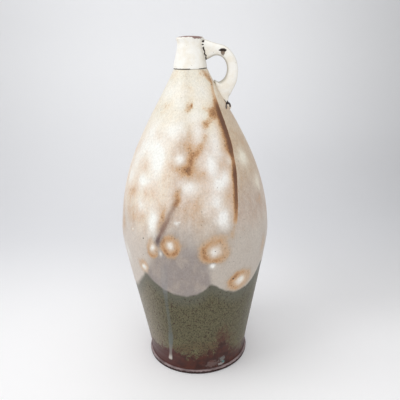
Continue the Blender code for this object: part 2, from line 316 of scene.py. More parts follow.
# %% Build the groups for specks and grain
def speck_group():
    """Dark specks: cells of a spacing, some of which hold a speck of a size, all in millimetres."""
    bench, given, finish = new_group("specks", ("Place", "Spacing", "Size", "Share"), ("Mask",))
    feeds = {"Vector": given["Place"], "Scale": bench.over(1 / MM, given["Spacing"])}
    cells = bench.add("ShaderNodeTexVoronoi", feeds, out=None)
    chance, girth, _ = bench.add("ShaderNodeSeparateColor", {0: cells["Color"]}, out=None)
    size = bench.times(bench.over(given["Size"], given["Spacing"]), bench.plus(0.5, girth))
    dot = bench.fade(cells["Distance"], bench.times(size, 0.5), size, 1, 0)
    return finish(bench.times(dot, bench.work("LESS_THAN", chance, given["Share"])))


def grain_group():
    """A fine mottle as a value around one."""
    bench, given, finish = new_group("grain", ("Place", "Size", "Depth"), ("Value",))
    scale = bench.over(1 / MM, given["Size"])
    feeds = {"Vector": given["Place"], "Scale": scale, "Detail": 4, "Roughness": 0.65}
    mottle = bench.add("ShaderNodeTexNoise", feeds)
    low = bench.minus(1, given["Depth"])
    high = bench.plus(1, given["Depth"])
    return finish(bench.fade(mottle, 0.3, 0.7, low, high))


SPECKS = speck_group()
GRAIN = grain_group()


def specked(bench, colour, place, spacing, size, share, strength, iron):
    """The colour with specks of an iron colour in it."""
    specks = bench.use(SPECKS, Place=place, Spacing=spacing, Size=size, Share=share)
    return bench.blend(bench.times(specks, strength), colour, iron)


def grained(bench, colour, place, size, depth):
    """The colour with the grain in it."""
    return bench.shade(1, colour, bench.grey(bench.use(GRAIN, Place=place, Size=size, Depth=depth)))


# %% [markdown]
# One mark is a line instead of a spot: the dark arch where the glaze pulled back round the top of the
# pellet at the handle's lower end. It crosses three pieces, so all three materials use this group.

# %% Build the group for the arch round the pellet
PELLET_MARK = (41.5, 322.2, 2.6, 3.9)  # how far out, how high, half width, half height
ARCH_LINE = (0.5, 0.28)  # how far off the ellipse's edge the line begins, and is full
ARCH_ENDS = (-0.45, -0.15)  # how far up the ellipse the arch begins, and is full


def pellet_outline_group():
    """The dark arch where the glaze pulled back round the top of the pellet."""
    bench, given, finish = new_group("pellet outline", ("Place", "Ragged"), ("Mask",))
    right, _, up = bench.split(given["Place"])
    out, height, half_width, half_height = PELLET_MARK
    across = bench.over(bench.minus(right, out * MM), half_width * MM)
    up = bench.over(bench.minus(up, height * MM), half_height * MM)
    distance = from_middle(bench, across, up, given["Ragged"])
    arch = bench.fade(bench.away(distance, 1), *ARCH_LINE)
    return finish(bench.times(arch, bench.fade(up, *ARCH_ENDS)))


PELLET_OUTLINE = pellet_outline_group()

# %% [markdown]
# ## The room
# A pot is best seen in a plain room: a pale floor that curves up into a wall, a big soft window of
# light high on the left, a fainter one in front, and light from all round. A floor and a wall could
# be two sheets, but then a line would show behind the jug, so they are one.

# %% Roll out the floor and the wall
FLOOR_FRONT = -2.2
FLOOR_BACK = 0.5
CURVE_RADIUS = 0.45
WALL_TOP = 2.2
SHEET_HALF_WIDTH = 2.6
CURVE_STEPS = 24


def backdrop_outline():
    """The sheet's side view as (back, up): floor, curve and wall."""
    points = [(FLOOR_FRONT, 0), (FLOOR_BACK, 0)]
    for step in range(1, CURVE_STEPS + 1):
        angle = math.pi / 2 * step / CURVE_STEPS
        back = FLOOR_BACK + CURVE_RADIUS * math.sin(angle)
        points.append((back, CURVE_RADIUS * (1 - math.cos(angle))))
    points.append((FLOOR_BACK + CURVE_RADIUS, WALL_TOP))
    return points


def new_piece(name, form):
    """A smooth object made from a form, which is then freed."""
    mesh = bpy.data.meshes.new(name)
    form.to_mesh(mesh)
    form.free()
    mesh.shade_smooth()
    return add_object(name, mesh)


def roll_out_backdrop():
    """One smooth sheet."""
    form = bmesh.new()
    left, right = [
        [form.verts.new((side, back, up)) for back, up in backdrop_outline()]
        for side in (-SHEET_HALF_WIDTH, SHEET_HALF_WIDTH)
    ]
    for index in range(len(left) - 1):
        form.faces.new((left[index], right[index], right[index + 1], left[index + 1]))
    sheet = new_piece("backdrop", form)
    return sheet


backdrop = roll_out_backdrop()
print("backdrop faces:", len(backdrop.data.polygons))

# %% [markdown]
# The paper is evenly pale for the light that bounces off it onto the jug. The camera sees it with
# painted shade, as a studio shades it: brightest at the front left, falling off towards both sides
# of the wall, and with a soft painted shadow on the floor behind the jug, to its right. More lamps
# could shade it so, but they would shade the jug too.

# %% Give the sheet its pale colour
PAPER = fired(236, 236, 238)
NEAR_FLOOR = fired(254, 254, 255)
FAR_FLOOR = fired(232, 233, 236)
HIGH_WALL = fired(243, 244, 246)
FLOOR_FADE = (-0.02, 0.42)  # each fade is where it begins and where it is full, in metres
WALL_FADE = (0.0, 0.36)
LEFT_FADE = (-0.12, -1)
LEFT_DIM = 0.67
RIGHT_FADE = (0.05, 0.95)
RIGHT_DIM = 0.57
BEHIND_RIGHT = (0.06, 0.26)
BEHIND_NEAR = (-0.02, 0.13)
BEHIND_FAR = (0.42, 0.16)
BEHIND_FAR_SHARE = 0.45
BEHIND_UP = (0.16, 0.03)
BEHIND_DIM = 0.135


class Finish(Bench):
    """The bench of one material, with its shader and where each place of the object is."""

    def __init__(self, name):
        self.material = bpy.data.materials.new(name)
        self.material.use_nodes = True
        super().__init__(self.material.node_tree)
        self.shader = self.tree.nodes["Principled BSDF"]
        self.place = self.add("ShaderNodeTexCoord", out=3)

    def done(self, colour, roughness, specular):
        """Feeds the shader, and hands back the material."""
        self.feed(self.shader.inputs["Base Color"], colour)
        self.feed(self.shader.inputs["Roughness"], roughness)
        self.shader.inputs["Specular IOR Level"].default_value = specular
        return self.material


def coat(piece, material):
    """Gives a piece its material."""
    piece.data.materials.append(material)
    print(piece.name, "wears", material.name, "with", len(material.node_tree.nodes), "nodes")


def backdrop_material():
    """Pale paper, with the studio's own shading for the camera alone."""
    bench = Finish("pale_paper")
    right, back, up = bench.split(bench.place)
    floor, wall = bench.fade(back, *FLOOR_FADE), bench.fade(up, *WALL_FADE)
    seen = bench.lay(NEAR_FLOOR, (floor, FAR_FLOOR), (wall, HIGH_WALL))
    # a soft painted shadow on the floor behind the jug, to its right, for the camera alone
    behind = bench.times(
        bench.fade(right, *BEHIND_RIGHT),
        bench.fade(back, *BEHIND_NEAR),
        bench.fade(back, *BEHIND_FAR, BEHIND_FAR_SHARE, 1),
        bench.fade(up, *BEHIND_UP, 0, BEHIND_DIM),
    )
    dim = bench.times(
        bench.fade(right, *LEFT_FADE, 1, LEFT_DIM),
        bench.fade(right, *RIGHT_FADE, 1, RIGHT_DIM),
        bench.minus(1, behind),
    )
    seen = bench.shade(1, seen, bench.grey(dim))
    camera_ray = bench.add("ShaderNodeLightPath")
    return bench.done(bench.blend(camera_ray, PAPER, seen), 0.9, 0.2)


coat(backdrop, backdrop_material())

# %% [markdown]
# One hard lamp would carve the jug out with a black shadow. The photograph's light is soft: the left
# side is brightest, the right is only a little darker, and the shadow on the floor is faint. Two
# wide windows and an even glow do that, at a level at which a colour renders about as it is written.

# %% Hang the lights
JUG_MIDDLE = Vector((0, 0, 0.2))
LIGHTS = (
    # name, place, width, height, watts
    ("window_high_left", (-0.95, -0.3, 1.75), 1.0, 1.0, 8.5),
    ("window_in_front", (0.25, -2.0, 1.2), 1.8, 1.4, 6),
)
ROOM_LIGHT = 0.75


def hang_lights():
    """Soft rectangles aimed at the jug, and even light from all round."""
    for name, place, width, height, watts in LIGHTS:
        data = bpy.data.lights.new(name, "AREA")
        data.shape = "RECTANGLE"
        data.size = width
        data.size_y = height
        data.energy = watts
        lamp = add_object(name, data)
        lamp.location = place
        lamp.rotation_euler = (JUG_MIDDLE - Vector(place)).to_track_quat("-Z", "Y").to_euler()
    world = bpy.data.worlds.new("room")
    world.use_nodes = True
    glow = world.node_tree.nodes["Background"]
    glow.inputs["Color"].default_value = (1, 1, 1, 1)
    glow.inputs["Strength"].default_value = ROOM_LIGHT
    scene.world = world


hang_lights()
print("lights:", [name for name, *_ in LIGHTS])

# %% [markdown]
# ## The jug's outline, read from the frame
# The packed model is made of flat faces, but its corners lie on the true outline. Reading them back
# keeps this file in step with the model: if the belly grows there, it grows here. A smooth line
# through the corners then gives the radius at any height.


# %% Read the outline
def outward_corners(node, lowest, highest):
    """The widest corner of a turned node at each level, from the faces that look outward, as rows
    of (height, radius) in millimetres."""
    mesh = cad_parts[node].data
    widest = {}
    for face in mesh.polygons:
        if face.normal.x * face.center.x + face.normal.y * face.center.y <= 0:
            continue
        for index in face.vertices:
            corner = mesh.vertices[index].co
            height = round(corner.z / MM, 1)
            if lowest <= height <= highest:
                radius = math.hypot(corner.x, corner.y) / MM
                widest[height] = max(widest.get(height, 0), radius)
    return np.array(sorted(widest.items()))


def smooth_line(rows):
    """A function of place that bends smoothly through rows of (place, value)."""
    rows = np.array(rows, float)
    places, values = rows[:, 0], rows[:, 1]
    slopes = np.gradient(values, places)

    def at(place):
        place = np.clip(place, places[0], places[-1])
        index = np.clip(np.searchsorted(places, place) - 1, 0, len(places) - 2)
        span = places[index + 1] - places[index]
        along = (place - places[index]) / span
        start, end = values[index], values[index + 1]
        lead, trail = slopes[index] * span, slopes[index + 1] * span
        bend = 2 * start - 2 * end + lead + trail
        sag = 3 * end - 3 * start - 2 * lead - trail
        return ((bend * along + sag) * along + lead) * along + start

    return at


BELLY_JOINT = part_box("upper_wall")[0].z / MM
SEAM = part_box("upper_wall")[1].z / MM
FOOT_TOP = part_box("lower_wall")[0].z / MM
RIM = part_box("neck_collar")[1].z / MM

lower_corners = outward_corners("lower_wall", 0, BELLY_JOINT)
upper_corners = outward_corners("upper_wall", BELLY_JOINT + 1, SEAM)
neck_corners = outward_corners("neck_collar", SEAM, RIM)
BODY_LINE = smooth_line(np.concatenate((lower_corners, upper_corners)))
print("belly radius:", round(float(BODY_LINE(BELLY_JOINT)), 1), "mm; seam at", round(SEAM, 1), "mm")

# %% [markdown]
# ## Where the glazes lie
# The milky glaze was poured from the top and stopped in lobes, like a tablecloth's scalloped edge.
# The green-brown glaze stops in a ragged line above the foot, where the fired clay shows red-brown.
# Each line is a few given points of (turn, height). The back, which the photograph doesn't
# show, goes on in the same rhythm.

# %% Place the edges of the glazes
MILKY_EDGE = smooth_line(
    (
        (-188, 112), (-172, 120), (-163, 130), (-157, 135), (-151, 129), (-140, 117), (-128, 112),
        (-115, 116), (-105, 127), (-99, 132), (-93, 127), (-84, 115), (-75, 111), (-66, 114),
        (-56, 124), (-48, 136), (-43.5, 143), (-39, 138.5), (-33, 132), (-27, 127), (-20, 123.2),
        (-12, 121.3), (-5, 121.6), (1, 124.4), (6, 129.4), (9, 134.2), (11.4, 135.8), (14, 134.2),
        (19, 128.5), (25, 123), (32, 119.2), (38, 118.3), (45, 119.8), (52, 123.5), (58, 129.5),
        (64, 136.5), (69, 139.5), (75, 133), (84, 121), (96, 114), (108, 115), (118, 123),
        (126, 133), (131, 137), (137, 131), (147, 119), (160, 112), (172, 112), (188, 120),
    )
)
GREEN_EDGE = smooth_line(
    (
        (-188, 30), (-150, 36), (-120, 27), (-90, 33), (-65, 29), (-52, 28), (-38, 33), (-26, 33),
        (-18, 28), (-11, 24), (2, 27), (10, 31), (17, 33), (22, 40), (26.5, 46), (31, 40), (36, 31),
        (46, 22), (58, 18), (72, 22), (95, 32), (120, 25), (150, 34), (172, 30), (188, 34),
    )
)
print("the milky glaze ends", float(MILKY_EDGE(0)), "mm up at the front")

# %% [markdown]
# ## Where the glaze ran
# Melting glaze runs down and leaves trails. A run is a line of (height, turn, half width, strength).
# The dark run starts beside the handle, where the glaze was caught; the plum trail is left of the
# middle; the grey drip escaped over the green. Every corner of the mesh stores how far it lies to
# the right of each run, in half widths, and how strong the run is there.

# %% Place the runs
DARK_RUN = (
    (202, 30.2, 1.2, 0.0), (207, 30.8, 1.7, 0.4), (215, 31.9, 1.8, 0.6), (228, 33.5, 2.0, 0.8),
    (240, 35.0, 1.9, 0.9), (250, 36.7, 2.0, 0.92), (258, 38.0, 2.2, 0.96), (265, 39.5, 1.7, 0.8),
    (271, 40.3, 1.5, 0.66), (276, 40.7, 1.9, 0.82), (284, 41.2, 3.2, 0.94), (292, 42.1, 3.0, 0.94),
    (300, 43.0, 3.0, 0.94), (310, 43.9, 2.9, 0.96), (320, 44.7, 2.8, 0.94), (327, 46.0, 2.5, 0.82),
    (333, 48.0, 2.2, 0.5), (340, 51.0, 1.8, 0.34), (345, 55.5, 1.6, 0.36), (350, 61.5, 1.6, 0.3),
    (354, 66, 1.6, 0.0),
)
PLUM_TRAIL = (
    (180, -27.8, 2.6, 0.0), (184.5, -27.5, 3.6, 0.7), (189, -26.9, 4.3, 0.95), (197, -25.0, 4.4, 0.9),
    (204, -23.2, 4.6, 0.85), (212, -20.6, 4.2, 0.75), (220, -17.9, 3.7, 0.62), (229, -14.8, 3.2, 0.55),
    (236, -13.6, 2.8, 0.2), (243, -13.0, 2.8, 0.0),
)
GREY_DRIP = (
    (13, -34.8, 1.8, 0.0), (15.5, -34.5, 2.7, 1.0), (19, -33.8, 2.5, 1.0), (27, -32.5, 2.0, 0.8),
    (36, -31.2, 2.4, 0.8), (46, -29.8, 3.2, 0.75), (56, -28.6, 3.4, 0.65), (64, -28.0, 2.6, 0.42),
    (80, -27.4, 2.2, 0.36), (98, -27.0, 2.2, 0.4), (116, -26.6, 2.6, 0.4), (134, -25.8, 4, 0.4),
    (150, -24.8, 5, 0.3), (166, -23.6, 4, 0.0),
)


def smooth_step(value, low, high):
    """From 0 to 1, smoothly, while value goes from low to high."""
    share = np.clip((value - low) / (high - low), 0, 1)
    return share * share * (3 - 2 * share)


def beside_run(run, turn, height, radius):
    """How far right of a run a place lies, in half widths, and the run's strength there."""
    table = np.array(run, float)
    centre, width, strength = [smooth_line(table[:, (0, column)])(height) for column in (1, 2, 3)]
    strength = np.clip(strength, 0, 1)
    strength = np.where((height < table[0, 0]) | (height > table[-1, 0]), 0, strength)
    return np.radians(turn - centre) * radius / width, strength


def hump(across):
    """A rounded ridge, 1 on the line and about 0 two half widths away."""
    return np.exp(-across * across)


print("runs:", len(DARK_RUN), len(PLUM_TRAIL), len(GREY_DRIP), "points")

# %% [markdown]
# ## Where the glaze turned white or burnt
# Where the milky glaze lies thick it is white. Where it is thin the clay's iron burns through: first
# tan, then orange, then brown. One number says which: the tone, 1 for white and -1 for dark brown.
# Each spot could have a colour of its own, but then it would look stuck on. The tone is the sum of
# many soft spots and strokes, so they melt into each other. Those past 75 degrees
# either way are made up in the same manner.

# %% Place the milk
MILK_SPOTS = (
    # turn, height, half width, half height, strength
    (-22, 303, 11, 10, 0.9), (-47, 285, 17, 13, 0.9), (-34.5, 270, 7.5, 16, 1.25), (-46, 250, 10, 7, 1.0),
    (-66, 268, 12, 17, 0.7), (-68, 248, 8, 8, 0.6), (-56, 304, 12, 12, 0.65), (-13, 276, 5, 4.5, 0.8),
    (6, 302, 5, 9, 0.6), (4, 316, 10, 7, 0.5), (17, 270, 6.5, 14, 1.15), (26, 290, 6, 13, 0.9),
    (32, 303, 4, 7, 0.6), (35.5, 271, 4.5, 4, 0.6), (29, 256, 6, 7, 1.0), (21, 249, 7, 7, 1.25),
    (-4, 248, 10, 7, 0.85), (17, 232, 8.5, 8.5, 0.9), (21, 213, 7.5, 9.5, 1.35), (-32, 208, 6.5, 15, 1.05),
    (-44, 224, 7, 7, 0.75), (54, 270, 8, 9, 1.1), (66, 238, 8, 10, 0.8), (7, 226, 6, 7, 0.35),
    (32, 343, 9, 11, 0.5), (-66, 157, 7, 11, 0.5), (-13.4, 211, 1.9, 1.7, 1.0), (-11.3, 211.8, 1.3, 1.3, 0.8),
    (-12.2, 207.6, 1.6, 1.5, 0.4), (-25.6, 174, 1.8, 3.2, 0.7), (11.4, 160.6, 2.8, 2.8, 1.5),
    (-52, 342, 12, 12, 0.5), (-20, 335, 9, 10, 0.35), (10, 333, 4, 12, 0.3),
    (-95, 292, 14, 13, 0.8), (-88, 246, 10, 16, 0.8), (-108, 262, 11, 10, 0.7), (-118, 222, 8, 16, 0.9),
    (-134, 285, 12, 13, 0.7), (-146, 245, 11, 10, 0.8), (-165, 270, 10, 15, 0.8), (-172, 222, 9, 13, 1.0),
    (164, 300, 11, 11, 0.6), (150, 255, 10, 15, 0.8), (128, 278, 10, 13, 0.6), (122, 236, 11, 10, 0.5),
    (96, 262, 10, 14, 0.5), (138, 214, 8, 13, 0.8), (-95, 200, 7, 13, 0.8), (104, 204, 8, 10, 0.6),
)
BLISTERS = (
    # turn, height, half width, half height, ring, middle, where the ring is darkest, how uneven
    (-18, 184.5, 10.4, 11.6, 0.64, 0.9, -150, 0.3), (13.5, 177.5, 16, 13.5, 0.6, 0.76, -150, 0.5),
    (37, 131.5, 16, 12.5, 0.56, 1.05, 135, 0.5), (-32, 179, 7.5, 11.5, 0.5, 0.85, -110, 0.8),
    (-43.5, 150, 8, 9.5, 0.3, 1.1, 120, 0.7), (-53.4, 193.6, 3, 3, 0.0, 1.3, -90, 0.3),
    (-86, 176, 12, 12, 0.55, 0.9, -60, 0.5), (-120, 168, 10, 11, 0.5, 0.85, -120, 0.5),
    (-104, 145, 9, 8, 0.3, 0.8, -90, 0.5), (-150, 183, 14, 12, 0.55, 0.9, -80, 0.6),
    (172, 168, 11, 12, 0.5, 0.85, -140, 0.5), (140, 180, 12, 11, 0.45, 0.9, -60, 0.5),
    (112, 150, 13, 11, 0.4, 0.85, 60, 0.5), (92, 172, 8, 10, 0.35, 0.7, -90, 0.4),
)
# how far from a blister's middle its ring lies, and what is its edge, as shares of its half size
RING_PLACE = 0.8
RING_WIDTH = 0.38
BLISTER_EDGE = (1.05, 0.45)
MIDDLE_SIZE = 0.46
print("milk spots:", len(MILK_SPOTS), "and blisters:", len(BLISTERS))

# %% Place the burn
BURN_SPOTS = (
    # turn, height, half width, half height, strength
    (0.5, 329.8, 1.3, 2.6, 0.6), (-5.4, 327.5, 4.4, 6.5, 0.2), (-5.2, 323, 1.8, 2.2, 0.26),
    (-4, 266.5, 5.6, 7.6, 0.6), (-8.4, 263, 5.4, 5, 0.34), (-13, 267, 5, 3.5, 0.22),
    (-2, 275.5, 4.6, 6, 0.44), (-4.5, 285, 5, 6.5, 0.4), (-4, 295, 7, 9, 0.28), (4, 281, 4, 5, 0.14),
    (-12.6, 237, 4.2, 6.5, 0.66), (-11.8, 245, 3.6, 5, 0.34), (-14.4, 230.5, 3.6, 4.5, 0.42),
    (14, 310, 8, 4, 0.3), (-4, 306, 7, 4, 0.14), (36, 300, 3.2, 6, 0.36), (36.5, 288, 2.6, 6, 0.3),
    (36, 316, 4, 5, 0.2), (34, 124.5, 4.5, 2.6, 0.26),
    (-55, 211, 12, 10, 0.26), (-58, 234, 10, 8, 0.16), (-60, 323, 18, 13, 0.14), (19, 194, 12, 8, 0.28),
    (64, 163, 8, 14, 0.25), (-70, 192, 8, 10, 0.28), (1, 229, 10, 8, 0.26), (31, 266, 4, 6, 0.16),
    (31, 237, 6, 9, 0.2), (-36, 262, 4, 6, 0.1), (8, 262, 7, 7, 0.14), (62, 222, 8, 9, 0.16),
    (-100, 222, 12, 12, 0.3), (-130, 250, 9, 11, 0.4), (-160, 240, 8, 9, 0.55), (175, 250, 7, 10, 0.45),
    (150, 232, 11, 11, 0.3), (118, 258, 10, 11, 0.3), (-112, 300, 11, 10, 0.25), (140, 305, 11, 10, 0.25),
)
BURN_STROKES = (
    # each is a line of places: turn, height, half width, strength
    (
        (19, 311, 4.0, 0.34), (25, 314, 5.4, 0.48), (31, 318.5, 5.6, 0.46), (36, 322, 5.4, 0.46),
        (41, 325, 4.6, 0.6), (45, 332, 3.4, 0.5),
    ),
    ((20, 324, 4, 0.14), (27, 322, 4.4, 0.2), (33, 321, 4, 0.1)),
    (
        (29, 360, 3, 0.22), (45, 359.5, 4.4, 0.4), (58, 357, 5, 0.46), (64, 350, 4.4, 0.54),
        (72, 348, 4, 0.5),
    ),
    ((60, 345, 3.5, 0.22), (50, 334, 3.5, 0.3)),
    ((14, 298, 3, 0.24), (8.6, 289, 4.4, 0.46), (3.5, 281.5, 4.6, 0.4), (-1.5, 275, 4, 0.22)),
    ((28.6, 203, 3, 0.26), (27, 191, 2.6, 0.16)),
    ((-32, 197, 3, 0.2), (-33.5, 188, 3, 0.34)),
    ((-23.5, 224, 4, 0.24), (-25, 211, 5, 0.42), (-28, 200, 3.5, 0.3)),
    ((56, 320, 1.8, 0.3), (66, 322, 2, 0.4), (76, 325, 2, 0.4)),
    ((-150, 262, 4, 0.3), (-146, 214, 5, 0.55), (-154, 196, 3.5, 0.4)),
    ((168, 330, 3, 0.3), (160, 285, 4.5, 0.5)),
    ((-100, 330, 3, 0.2), (-96, 306, 4.5, 0.4)),
    ((126, 330, 3, 0.3), (120, 292, 4.5, 0.5)),
)
print("burn spots:", len(BURN_SPOTS), "and strokes:", len(BURN_STROKES))

# %% [markdown]
# The pour came down in lobes, and the middle one is thinner than its neighbours, so the green glaze
# greys it. Its sides are crisp at the bottom and fade out upwards. The back has two more like it.

# %% Place the grey lobes
LOBE_LEFT = smooth_line(
    ((110, -43), (143, -42.5), (150, -39), (160, -36), (170, -32), (185, -26), (215, -18))
)
LOBE_RIGHT = smooth_line(
    ((110, 11.3), (137, 11.3), (148, 9.8), (160, 9), (172, 6), (190, 1), (215, -4))
)
LOBE_TURNS = (0, -118, 148)
LOBE_SOFTENS = (145, 185)  # heights between which its sides turn from crisp to soft
LOBE_CRISP = 2.4
LOBE_SOFTER = 8
LOBE_FADES = (160, 232)  # heights between which it fades
LOBE_FADE = 0.85


def around(turn, centre):
    """How far round from a centre a turn is, from -180 to 180 degrees."""
    return (turn - centre + 180) % 360 - 180


def grey_lobes(turn, height):
    """How far into a grey lobe each place is."""
    soft = LOBE_CRISP + LOBE_SOFTER * smooth_step(height, *LOBE_SOFTENS)
    strength = 1 - LOBE_FADE * smooth_step(height, *LOBE_FADES)
    greyest = np.zeros(np.broadcast(turn, height).shape)
    for centre in LOBE_TURNS:
        swung = around(turn, centre)
        inside = smooth_step(swung - LOBE_LEFT(height), -soft, soft)
        inside = inside * smooth_step(LOBE_RIGHT(height) - swung, -soft, soft)
        greyest = np.maximum(greyest, strength * inside)
    return greyest


def apart(turn, height, radius, centre_turn, centre_height):
    """Millimetres to the right of a place and above it, measured on the skin."""
    return np.radians(around(turn, centre_turn)) * radius, height - centre_height


print("the middle lobe is", float(LOBE_RIGHT(150) - LOBE_LEFT(150)), "degrees wide at 150 mm up")

# %% [markdown]
# No spot on a fired pot is round. Before the spots are laid, every place is nudged by a slow noise
# and by a quicker, smaller one, so that the spots come out pulled and dented. This is done once, in
# the mesh's corners, because hundreds of spots would be far too many shader nodes. The noise that
# gives vectors starts from the clock unless it is given a seed, so it gets one.

# %% Melt the spots and strokes together
SPOT_NUDGES = (
    # size of the noise, how far it moves a place, in millimetres
    (24, 1.8), (8, 1.2),
)
BLISTER_NUDGES = ((9, 1.8), (4, 1.1))
NUDGE_SEED = 4
RUN_SIDE_STARTS = (0.4, 1.4)  # half widths to the right of the dark run
RUN_SIDE_ENDS = (9, 3)
noise.seed_set(NUDGE_SEED)


def on_pot(turn, height, radius):
    """The corners at these turns, heights and radii, as rows of (right, back, up)."""
    angle = np.radians(turn)
    parts = np.broadcast_arrays(radius * np.sin(angle), -radius * np.cos(angle), height)
    return np.stack(parts, axis=-1)


def nudged(table, turn, height, radius):
    """Every place moved a little: its turn, height and radius."""
    corners = on_pot(turn, height, radius).reshape(-1, 3)
    push = np.zeros_like(corners)
    for size, far in table:
        push += far * np.array([noise.noise_vector(corner) for corner in (corners / size).tolist()])
    push = push.reshape(*turn.shape, 3)
    return turn + np.degrees(push[..., 0] / radius), height + push[..., 2], radius


def spots(table, turn, height, radius):
    """All the soft ellipses added up."""
    total = 0
    for *centre, half_width, half_height, strength in table:
        across, up = apart(turn, height, radius, *centre)
        total = total + strength * hump(np.hypot(across / half_width, up / half_height))
    return total


def strokes(table, turn, height, radius):
    """All the soft brush strokes: the strongest part of each, added up."""
    total = 0
    for places in table:
        strongest = 0
        for start, end in zip(places, places[1:]):
            across, up = apart(turn, height, radius, start[0], start[1])
            run, rise = apart(end[0], end[1], BODY_LINE(start[1]), start[0], start[1])
            share = np.clip((across * run + up * rise) / (run * run + rise * rise), 0, 1)
            distance = np.hypot(across - share * run, up - share * rise)
            half_width, strength = [first + share * (last - first) for first, last in zip(start[2:], end[2:])]
            strongest = np.maximum(strongest, strength * hump(distance / half_width))
        total = total + strongest
    return total


def lay_blisters(tone, turn, height, radius):
    """The tone with the blisters in it, each a white middle that fades into a burnt ring; and how
    far inside a blister each place is."""
    inside = np.zeros_like(tone)
    for *centre, half_width, half_height, ring, middle, darkest, uneven in BLISTERS:
        across, up = apart(turn, height, radius, *centre)
        across, up = across / half_width, up / half_height
        distance = np.hypot(across, up)
        here = smooth_step(distance, *BLISTER_EDGE)
        white = middle * hump(distance / MIDDLE_SIZE)
        away = np.arctan2(up, across) - math.radians(darkest)
        burnt = ring * (1 - uneven * (0.5 - 0.5 * np.cos(away)))
        tone = tone * (1 - here) + white - burnt * hump((distance - RING_PLACE) / RING_WIDTH)
        inside = np.maximum(inside, here * middle)
    return tone, inside


def glaze_tone(turn, height, radius):
    """The tone at every place, and how far inside a blister it is. Beside the dark run the burn
    gives way, because the run carries its own."""
    moved = nudged(SPOT_NUDGES, turn, height, radius)
    burn = spots(BURN_SPOTS, *moved) + strokes(BURN_STROKES, *moved)
    across, strength = beside_run(DARK_RUN, turn, height, radius)
    near_run = smooth_step(across, *RUN_SIDE_STARTS) * smooth_step(across, *RUN_SIDE_ENDS)
    burn *= 1 - near_run * np.minimum(strength * 2, 1)
    return lay_blisters(spots(MILK_SPOTS, *moved) - burn, *nudged(BLISTER_NUDGES, turn, height, radius))


print("the spots are nudged by noise of", [size for size, _ in SPOT_NUDGES], "mm")

# %% [markdown]
# ## Turning a skin
# The body and the neck are turned, so one function makes both: it takes rows of (height, radius)
# and spins them into a ring of faces. A profile with a Screw modifier would spin them too, but then
# the radius is the same all the way round. Here it may differ, which is how rings left by the
# fingers, the glaze's thick edge and the drips become real shape.


# %% Make the turned skin
def all_round(count):
    """That many turns, evenly spread, from behind over the left, the front and the right."""
    return np.linspace(-180, 180, count, endpoint=False)


def turned_skin(name, heights, radii):
    """A closed ring of faces. heights and radii are (rows, columns) arrays in millimetres; the last
    row joins the first."""
    rows, columns = radii.shape
    corners = on_pot(all_round(columns), heights, radii)
    below = np.arange(rows * columns).reshape(rows, columns)
    above = np.roll(below, -1, axis=0)
    faces = np.stack((below, np.roll(below, -1, axis=1), np.roll(above, -1, axis=1), above), axis=-1)
    mesh = bpy.data.meshes.new(name)
    mesh.from_pydata((corners * MM).reshape(-1, 3).tolist(), [], faces.reshape(-1, 4).tolist())
    mesh.shade_smooth()
    return add_object(name, mesh)


def store(piece, name, values):
    """Writes one value for each corner of the mesh, for a material to read."""
    attribute = piece.data.attributes.new(name, "FLOAT", "POINT")
    attribute.data.foreach_set("value", np.ascontiguousarray(values, dtype=np.float32).ravel())


def say(piece):
    """Prints what was made."""
    size = [round(side / MM, 1) for side in piece.dimensions]
    print(piece.name, "has", len(piece.data.polygons), "faces and measures", size, "mm")


# %% [markdown]
# ## The body
# The two halves are one skin here, because the potter smoothed the joint at the belly and the glaze
# covers it. The outside carries all the relief: faint throwing rings, a thicker milky glaze whose
# edge stands over the green one, a ridge under each run, and a rounded drip. A bump in the material
# would be cheaper, but it vanishes at the outline and in the exported mesh. All relief goes inward
# from the outline, so that the jug keeps its size.

# %% Give the outside its relief
RING_SPACING = 8.5
RING_DEPTH = 0.12
MILKY_THICKNESS = 0.3
MILKY_ROLL = 2.2
POURED_OVER = 0.2
POUR_LEVELS = (190, 215)
POUR_ENDS_BEHIND = (150, 90)
POUR_EDGE = (-0.6, 0.8)
CLEARANCE = 0.1
RUN_RIDGE = 0.25
DRIP_RIDGE = 0.7
LEFT_FULLNESS = 1.2
FULL_LEVELS = (200, 270)
RUNS = (
    # name, line, height of its ridge
    ("dark_run", DARK_RUN, RUN_RIDGE), ("plum_trail", PLUM_TRAIL, RUN_RIDGE),
    ("grey_drip", GREY_DRIP, DRIP_RIDGE),
)


def left_fullness(turn):
    """How much fuller the left of the shoulder is, in millimetres: no thrown pot is quite true."""
    return LEFT_FULLNESS * np.maximum(np.sin(np.radians(-turn)), 0) ** 2


def throwing_rings(turn, height):
    """Faint rings that wander a little round the pot and come and go up its side."""
    wander = 2.5 * np.sin(np.radians(turn)) + 1.5 * np.sin(np.radians(2 * turn) + 1.1)
    phase = 2 * np.pi * (height + wander) / RING_SPACING
    return RING_DEPTH * (0.5 + 0.5 * np.sin(phase)) * (0.6 + 0.4 * np.sin(height / 23))


def body_relief(turn, height, radius):
    """What to add to the outline, in millimetres, at every place on the outside."""
    milky = smooth_step(height - MILKY_EDGE(turn), -MILKY_ROLL, MILKY_ROLL)
    relief = -throwing_rings(turn, height) - MILKY_THICKNESS * (1 - milky)
    across, _ = beside_run(DARK_RUN, turn, height, radius)
    poured = smooth_step(across, *POUR_EDGE) * smooth_step(turn, *POUR_ENDS_BEHIND)
    relief -= POURED_OVER * (1 - poured) * smooth_step(height, *POUR_LEVELS) + CLEARANCE
    for _, run, ridge in RUNS:
        across, strength = beside_run(run, turn, height, radius)
        relief += ridge * hump(across) * strength
    return relief + left_fullness(turn) * smooth_step(height, *FULL_LEVELS)


print("ridges:", {name: ridge for name, _, ridge in RUNS}, "mm")

# %% Shape the body
BODY_COLUMNS = 320
BODY_ROWS = 262
INSIDE_ROWS = 16
WALL = 6.5
BORE_RADIUS = 10.4
THROAT_STEP = 3
EDGE_ROWS = (0, 0.35, 0.8, 1.4)
EDGE_MARGIN = 2.2
EDGE_SAG = 0.8
FOOT_FLARE = 1.1
FOOT_FLARE_HEIGHT = 1.6
SEAM_ROUND = 0.35


